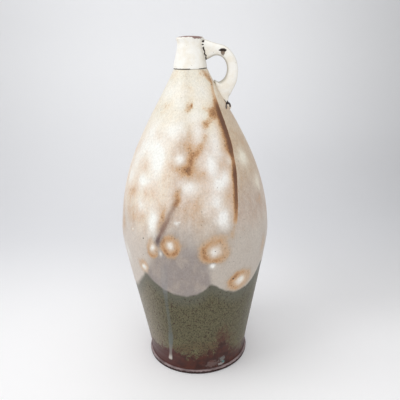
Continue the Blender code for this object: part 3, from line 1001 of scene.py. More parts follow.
def body_heights():
    """Levels from the foot to the seam, closer together at both ends."""
    near = np.array(EDGE_ROWS)
    even = np.linspace(FOOT_TOP + EDGE_MARGIN, SEAM - EDGE_MARGIN, BODY_ROWS)
    return np.concatenate((FOOT_TOP + near, even, SEAM - near[::-1]))


def inside_radius(height):
    """The outline, set in by the wall's thickness square to the slope."""
    step = 0.1
    lower = np.maximum(height - step, FOOT_TOP)
    upper = np.minimum(lower + step, SEAM)
    slope = (BODY_LINE(upper) - BODY_LINE(lower)) / step
    return np.maximum(BODY_LINE(height) - WALL * np.sqrt(1 + slope * slope), BORE_RADIUS + THROAT_STEP)


def store_glaze(piece, turns, heights):
    """Writes what the glazes do at each corner of the body."""
    reach = BODY_LINE(np.clip(heights, FOOT_TOP, SEAM))
    store(piece, "above_milky_edge", heights - MILKY_EDGE(turns) + EDGE_SAG)
    store(piece, "above_green_edge", heights - GREEN_EDGE(turns))
    for name, run, _ in RUNS:
        across, strength = beside_run(run, turns, heights, reach)
        store(piece, name + "_across", across)
        store(piece, name + "_strength", strength)
    tone, inside = glaze_tone(turns, heights, reach)
    store(piece, "tone", tone)
    store(piece, "blister", inside)
    store(piece, "grey_lobe", grey_lobes(turns, heights))


def shape_body():
    """The outside up to the seam, then back down the inside."""
    turn = all_round(BODY_COLUMNS)[None, :]
    height = body_heights()[:, None]
    line = BODY_LINE(height)
    outside = line + body_relief(turn, height, line)
    outside += FOOT_FLARE * np.exp(-(height - FOOT_TOP) / FOOT_FLARE_HEIGHT)
    outside -= SEAM_ROUND * np.exp(-(SEAM - height) / SEAM_ROUND)
    down = np.linspace(SEAM, FOOT_TOP, INSIDE_ROWS)[:, None]
    radii = np.concatenate((outside, inside_radius(down) + 0 * turn))
    heights = np.concatenate((height, down)) + 0 * turn
    piece = turned_skin("glazed_body", heights, radii)
    store_glaze(piece, turn + 0 * heights, heights)
    return piece


body = shape_body()
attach(body, "root")
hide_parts("lower_wall", "upper_wall")
say(body)

# %% [markdown]
# ## The foot
# The slab was cut from a sheet and rounded with a wet finger, so its edge wavers. The wall stands on
# it, and its edge looks out all round as a thin lip. A bevelled cylinder would be too true, so rings
# of corners are pushed in by a slow noise and bridged with faces.

# %% Shape the foot
SLAB_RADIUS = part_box("foot_slab")[1].x / MM
SLAB_COLUMNS = 240
SLAB_TOP = 5.0
WAVER = 0.25
WAVER_LUMPS = 2.2
SLAB_OUTLINE = (
    # how far in from the edge, how high
    (4.4, 0.0), (1.7, 0.0), (0.95, 0.15), (0.35, 0.6), (0.08, 1.3), (0.0, 2.2), (0.0, 3.3),
    (0.2, 4.1), (0.7, 4.65), (1.4, 4.93), (2.4, 5.0), (6.0, 5.0),
)


def bridge(form, rings):
    """Faces between each ring of corners and the next."""
    for ring, following in zip(rings, rings[1:]):
        for index in range(len(ring)):
            beside = (index + 1) % len(ring)
            form.faces.new((ring[index], ring[beside], following[beside], following[index]))


def shape_foot():
    """A disc with a wavering lip, closed over the top and underneath."""
    turns = all_round(SLAB_COLUMNS)
    circle = [(WAVER_LUMPS * math.sin(turn), WAVER_LUMPS * math.cos(turn), 0) for turn in np.radians(turns)]
    edge = SLAB_RADIUS - WAVER * (0.5 + np.array([noise.noise(place) for place in circle]))
    form = bmesh.new()
    rings = []
    for inset, height in SLAB_OUTLINE:
        rings.append([form.verts.new(corner * MM) for corner in on_pot(turns, height, edge - inset)])
    bridge(form, rings)
    for ring, height in ((rings[0], 0), (rings[-1], SLAB_TOP * MM)):
        middle = form.verts.new((0, 0, height))
        for index in range(SLAB_COLUMNS):
            form.faces.new((ring[index], ring[(index + 1) % SLAB_COLUMNS], middle))
    bmesh.ops.recalc_face_normals(form, faces=form.faces[:])
    return new_piece("slab_foot", form)


foot = shape_foot()
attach(foot, "root")
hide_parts("foot_slab")
say(foot)

# %% [markdown]
# ## The neck
# The collar was thrown on its own and set on the shoulder. Its seam stayed a little open, its lip is
# rounded, and its sides are not quite true: a hand squeezed it when the handle went on. It is turned
# as the body is, with waves in the radius for the squeeze and in the height for the dipped lip.

# %% Shape the neck
NECK_COLUMNS = 160
NECK_ROWS = 70
NECK_EDGE_ROWS = (0.25, 0.5, 0.9, 1.4)
NECK_RING_SPACING = 5.2
NECK_RING_DEPTH = 0.05
SPIGOT_FOOT = 360.5
SPIGOT_RADIUS = 13.5
BORE_LEVELS = (385, 372, SPIGOT_FOOT)
LIP_DIP = 1.1
LIP_ROUND = 2.0
LIP_FLARE = 0.5
LIP_STEPS = 14
COLLAR_FLARE = 0.5
COLLAR_FLARE_HEIGHT = 6


def neck_outside(turn, height, lip_foot):
    """The neck's radius: its outline, squeezed, flared at both ends and rounded at the seam."""
    line = smooth_line(neck_corners[neck_corners[:, 0] < RIM - 1.5])
    squeeze = -0.2 * np.cos(np.radians(2 * turn)) + 0.12 * np.sin(np.radians(3 * turn) + 0.7)
    outside = line(height) + squeeze * smooth_step(height, SEAM, SEAM + 6)
    outside += COLLAR_FLARE * np.exp(-(height - SEAM) / COLLAR_FLARE_HEIGHT)
    outside += left_fullness(turn) * smooth_step(height, lip_foot - 4, SEAM)
    outside -= NECK_RING_DEPTH * (1 + np.sin(2 * np.pi * height / NECK_RING_SPACING))
    outside += LIP_FLARE * smooth_step(height, lip_foot - 5, lip_foot)
    return outside - SEAM_ROUND * np.exp(-(height - SEAM - NECK_EDGE_ROWS[0]) / SEAM_ROUND)


def shape_neck():
    """Outside from the seam to the lip, over it, down the bore and round the spigot."""
    turn = all_round(NECK_COLUMNS)[None, :]
    lip_foot = RIM - LIP_ROUND - CLEARANCE
    even = np.linspace(SEAM + 2, lip_foot, NECK_ROWS)
    height = np.concatenate((SEAM + np.array(NECK_EDGE_ROWS), even))[:, None]
    outside = neck_outside(turn, height, lip_foot)
    dip = LIP_DIP * (0.5 - 0.5 * np.cos(np.radians(2 * turn - 20)))
    heights = [height - dip * smooth_step(height, lip_foot - 6, lip_foot)]
    radii = [outside]
    middle = (outside[-1:] + BORE_RADIUS) / 2
    half = (outside[-1:] - BORE_RADIUS) / 2
    for angle in np.radians(np.linspace(12, 168, LIP_STEPS)):
        heights.append(lip_foot - dip + LIP_ROUND * math.sin(angle) ** 0.8)
        radii.append(middle + half * math.cos(angle))
    inner = [(BORE_RADIUS, level) for level in (lip_foot - 1, *BORE_LEVELS)]
    inner += [(SPIGOT_RADIUS, SPIGOT_FOOT), (SPIGOT_RADIUS, SEAM + NECK_EDGE_ROWS[0])]
    for radius, level in inner:
        heights.append(np.full_like(turn, level))
        radii.append(np.full_like(turn, radius))
    return turned_skin("thrown_neck", np.concatenate(heights), np.concatenate(radii))


neck = shape_neck()
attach(neck, "root")
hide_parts("neck_collar")
say(neck)

# %% [markdown]
# ## The handle
# A potter pulls a handle from a lump of clay with a wet hand, so it is thick at the root, even round
# the finger hole and thinner at the tail. A bevelled curve has one section all along, so this is a
# loft: rounded sections along the strap's run, each given by its edge at the finger hole, its outer
# edge and its width.

# %% Shape the handle
STRAP = (
    # inner edge: out, below the rim; outer edge: out, below the rim; width; inner side's share of it
    (11.0, 26.2, 9.6, 3.6, 15.8, 0.45),
    (17.0, 26.4, 14.6, 3.4, 16.5, 0.45),
    (27.7, 21.6, 25.1, 7.0, 15.8, 0.8),
    (34.3, 22.8, 39.4, 11.9, 15.5, 0.82),
    (39.1, 28.3, 49.0, 22.1, 15.5, 0.82),
    (40.8, 36.0, 53.3, 36.0, 15.5, 0.82),
    (39.3, 43.3, 51.6, 50.4, 15.0, 0.82),
    (36.0, 48.0, 46.2, 61.9, 14.4, 0.82),
    (31.2, 50.5, 44.7, 65.0, 13.8, 0.82),
    (25.9, 49.6, 43.0, 67.2, 13.5, 0.82),
    (33.5, 73.5, 42.3, 71.2, 9.5, 1.0),
    (38.5, 78.3, 42.3, 77.0, 5.0, 1.0),
)
STRAP_RINGS = 150
STRAP_SIDES = 56
STRAP_SQUARENESS = 2.6
LUMP_SIZE = 9
LUMP_HEIGHT = 0.3


def smooth_run(stations, count):
    """That many stations, evenly spread on smooth lines through the given ones."""
    places = np.arange(len(stations))
    wanted = np.linspace(0, len(stations) - 1, count)
    columns = [smooth_line(np.stack((places, column), axis=1))(wanted) for column in np.array(stations).T]
    return np.stack(columns, axis=1)


def strap_ring(station):
    """Corners of one rounded section, in millimetres."""
    inner_out, inner_below, outer_out, outer_below, width, inner_share = station
    angle = 2 * np.pi * (np.arange(STRAP_SIDES) + 0.5) / STRAP_SIDES
    power = 2 / STRAP_SQUARENESS
    across = (1 + np.sign(np.cos(angle)) * np.abs(np.cos(angle)) ** power) / 2
    reach = np.sign(np.sin(angle)) * np.abs(np.sin(angle)) ** power
    out = inner_out + (outer_out - inner_out) * across
    up = RIM - inner_below - (outer_below - inner_below) * across
    side = width / 2 * (inner_share + (1 - inner_share) * across) * reach
    return np.stack((out, side, up), axis=1), across


def shape_handle():
    """The loft, with the soft lumps that wet fingers leave."""
    form = bmesh.new()
    rings = []
    shares = []
    for station in smooth_run(STRAP, STRAP_RINGS):
        corners, across = strap_ring(station)
        shares.append(across)
        middle = corners.mean(axis=0)
        ring = []
        for corner in corners:
            outward = Vector(corner - middle).normalized()
            lump = LUMP_HEIGHT * noise.noise(Vector(corner) / LUMP_SIZE)
            ring.append(form.verts.new((Vector(corner) + outward * lump) * MM))
        rings.append(ring)
    bridge(form, rings)
    form.faces.new(rings[0])
    form.faces.new(rings[-1])
    bmesh.ops.recalc_face_normals(form, faces=form.faces[:])
    piece = new_piece("pulled_handle", form)
    store(piece, "strap_across", np.concatenate(shares))
    return piece


def store_off_pot(piece):
    """Writes how far each corner of the piece is outside the skin of the neck or the body."""
    corners = np.empty(len(piece.data.vertices) * 3)
    piece.data.vertices.foreach_get("co", corners)
    right, back, up = corners.reshape(-1, 3).T / MM
    radius = np.where(up > SEAM, smooth_line(neck_corners)(up), BODY_LINE(up))
    store(piece, "off_pot", np.hypot(right, back) - radius)


handle = shape_handle()
store_off_pot(handle)
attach(handle, "root")
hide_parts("handle")
say(handle)

# %% [markdown]
# ## The pellet
# A small lump of clay hides where the handle was pressed onto the shoulder. A finger flattened it, so
# it is a ball squashed against the slope, with a few dents. An icosphere has even faces all over,
# which dent better than the long thin ones at the poles of a UV sphere.

# %% Shape the pellet
PELLET_OUT = 42.2
PELLET_HEIGHT = 322.5
PELLET_HALF_SIZE = (3.2, 4.5, 4.5)
PELLET_SLOPE = math.radians(29)
DENT_DEPTH = 0.08
DENT_LUMPS = 1.7


def shape_pellet():
    """A dented ball, pressed on the slope."""
    form = bmesh.new()
    bmesh.ops.create_icosphere(form, subdivisions=5, radius=1)
    for corner in form.verts:
        corner.co *= 1 + DENT_DEPTH * noise.noise(corner.co * DENT_LUMPS)
    bmesh.ops.scale(form, vec=[half * MM for half in PELLET_HALF_SIZE], verts=form.verts[:])
    bmesh.ops.rotate(form, matrix=Matrix.Rotation(-PELLET_SLOPE, 3, "Y"), verts=form.verts[:])
    bmesh.ops.translate(form, vec=(PELLET_OUT * MM, 0, PELLET_HEIGHT * MM), verts=form.verts[:])
    return new_piece("pressed_pellet", form)


pellet = shape_pellet()
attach(pellet, "root")
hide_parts("tail_pellet")
say(pellet)

# %% [markdown]
# ## The glazes on the body
# The layers are laid as the potter laid them. First the red-brown clay, then the green-brown glaze
# with its iron specks, then the milky glaze. The tone says what became of it in the fire: it goes
# towards white or along a scale from peach over tan to dark brown. A picture painted on the skin
# would be blurred up close. Here noise is added to the tone before it becomes a colour, so that its
# slopes break up into clouds and flecks at any distance.

# %% Choose the colours of the body
CLAY = fired(82, 42, 32)
CLAY_DARK = fired(60, 31, 26)
CLAY_PLUM = fired(92, 55, 53)
GREEN = fired(105, 100, 74)
GREEN_DARK = fired(66, 59, 41)
GREEN_GREY = fired(104, 105, 95)
GREEN_LIGHT = fired(114, 108, 76)
# painted sheen: the tan that the green glaze turns on the left side
PAINTED_GREEN_SHEEN = fired(160, 149, 132)
RUST = fired(100, 76, 52)
BARE_CLAY = fired(44, 28, 20)
RUST_DARK = fired(86, 56, 42)
IVORY = fired(237, 231, 215)
CREAM = fired(240, 230, 211)
LEFT_CREAM = fired(237, 223, 204)
LEFT_PEACH = fired(229, 208, 187)
FRONT_PINK = fired(224, 206, 190)
FRONT_TAN = fired(214, 192, 170)
BELT_LEFT = fired(212, 201, 190)
BELT_RIGHT = fired(196, 186, 175)
BELT_GREY = fired(158, 148, 143)
BELT_MAUVE = fired(172, 160, 151)
RIGHT_TAN = fired(205, 185, 160)
RIGHT_GREY = fired(194, 177, 163)
WHITE = fired(250, 250, 244)
FRONT_WHITE = fired(247, 245, 240)
RIGHT_WHITE = fired(236, 229, 212)
PLUM = fired(130, 99, 85)
TRAIL_END = fired(104, 86, 84)
DRIP_GREY = fired(104, 112, 110)
DRIP_MAUVE = fired(140, 130, 126)
DRIP_BEAD = fired(200, 192, 184)
DRIP_VEIL = fired(146, 146, 148)
BURN_TINT = fired(240, 224, 207)
BLISTER_CREAM = fired(210, 182, 153)
BURN_SCALE = (
    # burn, colour
    (0.0, fired(224, 198, 170)), (0.25, fired(216, 184, 151)), (0.45, fired(198, 157, 117)),
    (0.62, fired(170, 126, 87)), (0.8, fired(134, 95, 66)), (1.0, fired(104, 70, 54)),
)


def colour_scale(bench, value, stops):
    """A ColorRamp node through the given (place, colour) stops."""
    node = bench.tree.nodes.new("ShaderNodeValToRGB")
    bench.feed(node.inputs[0], value)
    points = node.color_ramp.elements
    points[0].position, points[0].color = stops[0]
    points[1].position, points[1].color = stops[-1]
    for place, colour in stops[1:-1]:
        points.new(place).color = colour
    return node.outputs[0]


class PotFinish(Finish):
    """The bench of a material that also knows the turn, height and swing of each place."""

    def __init__(self, name):
        super().__init__(name)
        self.turn, self.height, self.swing = self.use(PLACE, out=None, Place=self.place)

    def patch(self, ragged, ellipse, softness):
        """A soft ellipse on the skin: turn, height, half width in degrees, half height."""
        return mark(self, self.turn, self.height, ragged, ellipse, softness)


print("steps in the burn's scale:", len(BURN_SCALE))

# %% [markdown]
# The clay shows in a ragged band at the foot. The green glaze over it is a mottle of two olives, and
# it changes from place to place: greyer under the milk, rusty where it is thin. At the left it turns
# tan, which is a painted sheen on the left side.

# %% Lay the clay and the green glaze
FOOT_PATCHES = (
    # turn, height, half width in degrees, half height, share, colour: splashes on the bare clay
    (17, 11, 9, 4.5, 0.5, fired(126, 108, 104)), (28, 14.5, 3.6, 4, 0.6, fired(132, 136, 132)),
    (26.5, 8.2, 4.6, 1.4, 0.6, fired(186, 184, 180)), (29.3, 10.6, 2.2, 1.7, 0.85, fired(88, 136, 134)),
)
RUST_PATCH = (26, 48, 6.5, 14)
# each pair is where a change begins and where it is full, in degrees round or in millimetres up
PLUM_CLAY_TURNS = (-10, -40)
GREEN_SHEEN_TURNS = (-22, -64)
THIN_GREEN = (34, 8)
UNDER_MILK = (-24, -2)
GREEN_FLECKS = (0.34, 0.6)
GREEN_WANDER = 12


def bare_clay(bench):
    """Red-brown clay, plum at the left, with splashes of glaze on it."""
    clay = bench.blend(bench.fade(bench.clouds(bench.place, 7, 4), 0.35, 0.65), CLAY_DARK, CLAY)
    clay = bench.blend(bench.fade(bench.swing, *PLUM_CLAY_TURNS, 0, 0.6), clay, CLAY_PLUM)
    ragged = bench.wobble(bench.place, 3, 0.7, roughness=0.7)
    for *ellipse, share, colour in FOOT_PATCHES:
        clay = bench.blend(bench.times(bench.patch(ragged, ellipse, 0.45), share), clay, colour)
    return clay


def green_glaze(bench, drawn):
    """Mottled olive with a painted tan sheen at the left, grey under the milk, livelier and rustier near the
    foot.
    """
    mottle = bench.clouds(drawn, 1.4, roughness=0.6)
    low = bench.fade(bench.stored("above_green_edge"), *THIN_GREEN, 0, 0.7)
    drift = bench.fade(bench.clouds(bench.place, 16, 2), 0.4, 0.6)
    rusty = bench.patch(bench.wobble(drawn, 4, 0.8, roughness=0.7), RUST_PATCH, 0.6)
    # painted sheen: the green turns tan on the left side
    tan = bench.times(bench.fade(bench.swing, *GREEN_SHEEN_TURNS), bench.fade(mottle, *GREEN_FLECKS, 0.36, 0.7))
    green = bench.lay(
        GREEN_DARK,
        (bench.fade(mottle, *GREEN_FLECKS), GREEN),
        (bench.times(low, bench.fade(mottle, 0.36, 0.6)), bench.blend(drift, RUST, GREEN_LIGHT)),
        (tan, PAINTED_GREEN_SHEEN),
        (bench.fade(bench.stored("above_milky_edge"), *UNDER_MILK, 0, 0.6), GREEN_GREY),
        (bench.times(rusty, 0.85), RUST_DARK),
    )
    return specked(bench, green, drawn, 2.4, 0.9, 0.5, 0.65, CLAY_DARK)


def under_glazes(bench, drawn):
    """The clay, and the green glaze that ends on it in a streaky line."""
    streaks = bench.clouds(drawn, 5, detail=5, roughness=0.75)
    wander = bench.fade(streaks, 0.25, 0.75, -GREEN_WANDER, GREEN_WANDER)
    edge = bench.plus(bench.stored("above_green_edge"), wander)
    return bench.blend(bench.fade(edge, -4, 4.5), bare_clay(bench), green_glaze(bench, drawn))


print("splashes on the bare clay:", len(FOOT_PATCHES))

# %% [markdown]
# Under its white and burnt places the milky glaze has a ground of its own, warm at the left and in
# front, beige behind the dark run, and grey in a belt above its edge. Slow clouds push the borders
# between these colours about, so that none of them runs level or straight.

# %% Lay the milky glaze's ground
SLOW_CLOUDS = 34
TURN_PUSH = 16
LEVEL_PUSH = 14
LEFT_TO_FRONT = (-36, -6)
IVORY_LEVELS = (286, 322)
BELT_TURNS = (-50, 0)
BELT_LEVELS = (236, 184)
BEIGE_TURNS = (125, 80)
BEIGE_FOOT = (186, 216)
BEIGE_TOP = (352, 326)
BEIGE_LEVELS = (286, 208)
BEIGE_SPREADS = (328, 346)
BEIGE_SPREAD = 3
BEIGE_BORDER = (0.2, 1.2)


def beige_share(bench, level):
    """How beige the right side is. Its border is the dark run, and it spreads out near the neck."""
    spread = bench.fade(bench.height, *BEIGE_SPREADS, 0, BEIGE_SPREAD)
    first = bench.minus(BEIGE_BORDER[0], spread)
    last = bench.plus(BEIGE_BORDER[1], bench.times(spread, 2))
    return bench.times(
        bench.fade(bench.stored("dark_run_across"), first, last),
        bench.fade(bench.turn, *BEIGE_TURNS),
        bench.fade(bench.height, *BEIGE_FOOT),
        bench.fade(level, *BEIGE_TOP, 0.4, 1),
    )


def milky_base(bench, drawn):
    """Ivory at the top, cream at the left, pink and tan in front, beige at the right, grey in the
    belt."""
    slow = bench.clouds(drawn, SLOW_CLOUDS)
    turned = bench.plus(bench.swing, bench.fade(slow, 0.2, 0.8, -TURN_PUSH, TURN_PUSH))
    level = bench.plus(bench.height, bench.fade(slow, 0.2, 0.8, -LEVEL_PUSH, LEVEL_PUSH))
    clouds = bench.fade(bench.clouds(drawn, 13, 4, 0.6), 0.36, 0.64)
    belt = bench.blend(bench.fade(turned, *BELT_TURNS), BELT_LEFT, BELT_RIGHT)
    mauve = bench.blend(bench.fade(bench.clouds(drawn, 11, 4), 0.4, 0.62), BELT_GREY, BELT_MAUVE)
    beige = bench.blend(bench.fade(level, *BEIGE_LEVELS), RIGHT_TAN, RIGHT_GREY)
    return bench.lay(
        bench.blend(clouds, LEFT_PEACH, LEFT_CREAM),
        (bench.fade(turned, *LEFT_TO_FRONT), bench.blend(clouds, FRONT_TAN, FRONT_PINK)),
        (bench.fade(level, *IVORY_LEVELS), bench.blend(clouds, IVORY, CREAM)),
        (bench.fade(level, *BELT_LEVELS), belt),
        (bench.stored("grey_lobe"), mauve),
        (beige_share(bench, level), beige),
    )


print("the borders between its colours wander by", TURN_PUSH, "degrees and", LEVEL_PUSH, "mm")

# %% [markdown]
# Now the tone comes in. Three sizes of noise shake it, most where it is strong, so that white and
# burnt places have broken edges while calm places stay calm. The dark run and the plum trail get
# their edges from the same noise, and small marks and specks come last.

# %% Lay the milky glaze
SHAKES = (
    # size, depth, whether it is drawn out downwards
    (15, 0.2, True), (5, 0.17, True), (1.3, 0.17, False),
)
LIVELY_LEVELS = (176, 224)
FRONT_WHITE_TURNS = (-26, 0)
RIGHT_WHITE_TURNS = (28, 52)
TRAIL_LEVELS = (199, 188)
TRAIL_SHAKE = 1.7
RUN_SHAKE = 1.5
RUN_EDGE_SHAKE = 0.3
RUN_EDGE = (1.2, 0.75)
RUN_CORE = (-2.9, -0.5)
RUN_SKIRT = (-6.5, -1.0)
PIN_HOLES = (
    # turn, height, half width in degrees, half height
    (-40.7, 187.7, 0.5, 0.8), (29.4, 137, 0.7, 1.0), (13.6, 178, 0.35, 0.5), (55.5, 348, 1.2, 0.5),
)


def dark_run(bench, shake):
    """How burnt the dark run is: it fades away to its left and ends sharply at its right."""
    across = bench.stored("dark_run_across")
    rough = bench.plus(across, bench.times(shake, RUN_SHAKE))
    sharp = bench.fade(bench.plus(across, bench.times(shake, RUN_EDGE_SHAKE)), *RUN_EDGE)
    depth = bench.plus(bench.fade(rough, *RUN_CORE, 0, 0.6), bench.ramp(rough, *RUN_SKIRT, 0, 0.4))
    return bench.times(depth, sharp, bench.stored("dark_run_strength"))


def plum_trail(bench, shake):
    """How plum the trail left of the middle is, as a rounded hump across it."""
    across = bench.plus(bench.stored("plum_trail_across"), bench.times(shake, TRAIL_SHAKE))
    trail = bench.work("EXPONENT", bench.times(bench.times(across, across), -1))
    return bench.times(trail, bench.stored("plum_trail_strength"))


def milky_glaze(bench, drawn):
    """The milky glaze with its white and its burnt places."""
    glaze = bench.blend(bench.stored("blister"), milky_base(bench, drawn), BLISTER_CREAM)
    tone = bench.stored("tone")
    shake = 0
    for size, depth, runs_down in SHAKES:
        shake = bench.plus(shake, bench.shake(drawn if runs_down else bench.place, size, depth))
    calm = bench.fade(bench.height, *LIVELY_LEVELS, 0.15, 0.75)
    tone = bench.plus(tone, bench.times(shake, bench.work("MAXIMUM", calm, bench.work("ABSOLUTE", tone))))
    in_front, at_right = [bench.fade(bench.swing, *turns) for turns in (FRONT_WHITE_TURNS, RIGHT_WHITE_TURNS)]
    white = bench.lay(WHITE, (in_front, FRONT_WHITE), (at_right, RIGHT_WHITE))
    glaze = bench.blend(bench.ramp(tone, 0.0, 1.0), glaze, white)
    burn = bench.work("MAXIMUM", bench.times(tone, -1), dark_run(bench, shake))
    glaze = bench.shade(bench.ramp(burn, 0.0, 0.3), glaze, BURN_TINT)
    glaze = bench.blend(bench.ramp(burn, 0.12, 0.5), glaze, colour_scale(bench, burn, BURN_SCALE))
    iron = bench.ramp(burn, 0.08, 0.4, 0, 0.45)
    glaze = specked(bench, glaze, bench.place, 2.6, 1.1, 0.4, iron, RUST)
    trail = bench.blend(bench.fade(bench.height, *TRAIL_LEVELS), PLUM, TRAIL_END)
    glaze = bench.blend(plum_trail(bench, shake), glaze, trail)
    glaze = grained(bench, glaze, drawn, 1.6, 0.085)
    glaze = bench.lay(glaze, *((bench.patch(0.0, hole, 0.5), BARE_CLAY) for hole in PIN_HOLES))
    return specked(bench, glaze, bench.place, 6, 0.7, 0.3, 0.45, RUST)


print("the tone is shaken by noise of", [size for size, *_ in SHAKES], "mm")

# %% [markdown]
# The milky glaze covers the green one down to its own lobed edge, and the grey drip runs over both.
# Then the whole skin gets the gloss of a satin glaze, with a faint orange peel as its bump.

# %% Put the layers together
SATIN = 0.3
PEEL_DEPTH = 0.4 * MM
DRAWN_OUT = 0.6  # running glaze draws its clouds out downwards, so noise is squeezed in height
MILKY_BLEND = (-2.4, 2.0)
SOFT_LEFT_TURNS = (-30, -44)
DRIP_WIDTH = (1.25, 0.65)
DRIP_CHANGES = (
    # from which height, to which height, and to what colour the drip changes
    (46, 26, DRIP_MAUVE), (25, 17, DRIP_BEAD), (108, 130, DRIP_VEIL),
)
ARCH_TURNS = (88, 82)


def finish_glaze(bench, colour, roughness, peel_size, peel_strength):
    """Feeds a glaze's shader, with the orange peel of melted glass."""
    peel = bench.clouds(bench.place, peel_size)
    feeds = {"Height": peel, "Strength": peel_strength, "Distance": PEEL_DEPTH}
    bench.feed(bench.shader.inputs["Normal"], bench.add("ShaderNodeBump", feeds))
    return bench.done(colour, roughness, SATIN)


def pellet_arch(bench, raggedness):
    """The arch round the pellet, as far as it crosses this piece."""
    return bench.use(PELLET_OUTLINE, Place=bench.place, Ragged=bench.wobble(bench.place, 1.6, raggedness))


def with_drip(bench, colour):
    """The colour with the grey drip over it, which changes on its way down."""
    changes = [(bench.fade(bench.height, *levels), other) for *levels, other in DRIP_CHANGES]
    drip = bench.lay(DRIP_GREY, *changes)
    width = bench.fade(bench.work("ABSOLUTE", bench.stored("grey_drip_across")), *DRIP_WIDTH)
    return bench.blend(bench.times(width, bench.stored("grey_drip_strength")), colour, drip)


def body_material():
    """All the layers, in the potter's order."""
    bench = PotFinish("poured_glazes")
    squeezed = {0: bench.place, 1: (1, 1, DRAWN_OUT)}
    drawn = bench.add("ShaderNodeVectorMath", squeezed, operation="MULTIPLY")
    edge = bench.plus(bench.stored("above_milky_edge"), bench.wobble(bench.place, 8, 0.7, detail=3))
    edge = bench.times(edge, bench.fade(bench.swing, *SOFT_LEFT_TURNS, 1, 0.5))
    over = bench.fade(edge, *MILKY_BLEND)
    colour = bench.blend(over, under_glazes(bench, drawn), milky_glaze(bench, drawn))
    colour = with_drip(bench, colour)
    arch = bench.times(pellet_arch(bench, 0.2), bench.fade(bench.turn, *ARCH_TURNS))
    colour = bench.blend(arch, colour, BARE_CLAY)
    return finish_glaze(bench, colour, bench.fade(over, 0, 1, 0.36, 0.42), 2.2, 0.15)


coat(body, body_material())

# %% [markdown]
# ## Cream glaze on the neck, the handle and the pellet
# The same milky glaze lies thick here and stays cream. It breaks where it is thin: the clay of the
# lip shows brown, and dark lines are left in the seams where the glaze pulled apart. The three
# pieces share one recipe for the cream, and each adds its own marks.

# %% Glaze the neck
LIP_BROWN = fired(148, 122, 116)
SEAM_DARK = fired(70, 62, 56)
NECK_CREAM = fired(255, 253, 246)
NECK_WARM = fired(249, 243, 230)
# painted shade: the darker grey on the neck's right side and along the handle's outer edge
NECK_SHADE = fired(208, 203, 190)
NECK_SHADE_TURNS = (38, 66)
LIP_WIDEST_TURN = 38
LIP_NARROWS = (36, 14)
LIP_BAND = (1.1, 2.9)
SEAM_GAP = (1.25, 0.75)
HEALED_TURN = 14
HEALED_ENDS = (12, 20)


def cream(bench):
    """The cream glaze's own colour, with faint clouds, grain and a few specks."""
    clouds = bench.fade(bench.clouds(bench.place, 9), 0.38, 0.68)
    colour = grained(bench, bench.blend(clouds, NECK_CREAM, NECK_WARM), bench.place, 1.4, 0.025)
    return specked(bench, colour, bench.place, 5, 0.6, 0.2, 0.35, RUST)


def finish_cream(bench, colour):
    """Feeds the shader of a cream piece, duller here and there."""
    roughness = bench.fade(bench.clouds(bench.place, 6), 0.3, 0.7, 0.38, 0.48)
    return finish_glaze(bench, colour, roughness, 2.0, 0.12)


def neck_material():
    """Cream, with a bare brown lip, a dark seam that comes and goes, and painted shade at the right."""
    bench = PotFinish("cream_glaze_on_neck")
    shake = bench.wobble(bench.place, 3, 0.5, roughness=0.7)
    reach = bench.fade(bench.away(bench.turn, LIP_WIDEST_TURN), *LIP_NARROWS, *LIP_BAND)
    lip_edge = bench.plus(bench.minus(bench.height, RIM), bench.plus(reach, shake))
    shaken = bench.plus(bench.height, bench.times(shake, 0.5))
    seam = bench.fade(shaken, SEAM + SEAM_GAP[0], SEAM + SEAM_GAP[1])
    healed = bench.fade(bench.away(bench.turn, HEALED_TURN), *HEALED_ENDS, 0.12, 1)
    colour = bench.lay(
        cream(bench),
        (bench.fade(lip_edge, -0.5, 0.3), LIP_BROWN),
        # painted shade on the right side of the neck, next to the handle
        (bench.fade(bench.swing, *NECK_SHADE_TURNS, 0, 0.45), NECK_SHADE),
        (bench.times(seam, healed), SEAM_DARK),
    )
    return finish_cream(bench, colour)


coat(neck, neck_material())

# %% [markdown]
# The handle's marks are seen from the front, so they are placed by how far out from the pot's middle
# they are and how high. Where the strap was luted to the neck, the glaze pulled back from the joint
# and left a dark crack. The mesh stores how far each corner of the strap is from the pot's skin.

# %% Glaze the handle
HANDLE_MARKS = (
    # out, height, half width, half height, lean: bare clay where the glaze crawled off
    (35.6, 384.4, 4.1, 1.5, 0.0), (38.6, 383.6, 1.3, 1.2, 0.0), (38.0, 328.5, 0.6, 2.6, -0.75),
)
BROWN_DROP = (35.8, 381.6, 2.3, 2.7)
CRACK_MARKS = (
    # height, half height: the parts of the crack that stayed open
    (380.6, 7.7), (390.6, 0.7), (394.0, 1.2),
)
CRACK_WIDTH = 1.2
CRACK_ZIGZAG = 1.1
DROP_BROWN = fired(104, 74, 42)
# painted shade inside the finger hole, along the strap's inner edge
HOLLOW_SHADE = fired(178, 172, 156)
OUTER_EDGE = (0.9, 1.0)
INNER_EDGE = (0.2, 0.0)
FRONT_SIDE = (-3, -4.5)
MARK_SOFTNESS = 0.18


def strongest(bench, masks):
    """The strongest of the masks at each place."""
    most, *others = masks
    for mask in others:
        most = bench.work("MAXIMUM", most, mask)
    return most


def neck_crack(bench, height):
    """The zigzag crack between strap and neck, in the parts that stayed open."""
    parts = [bench.over(bench.away(height, centre), half) for centre, half in CRACK_MARKS]
    still_open = strongest(bench, [bench.fade(part, 1.1, 0.9) for part in parts])
    zigzag = bench.shake(bench.place, 3.5, CRACK_ZIGZAG)
    off_line = bench.plus(bench.minus(bench.stored("off_pot"), CRACK_WIDTH), zigzag)
    line = bench.fade(bench.work("ABSOLUTE", off_line), CRACK_WIDTH * 0.95, CRACK_WIDTH * 0.55)
    return bench.times(still_open, line)


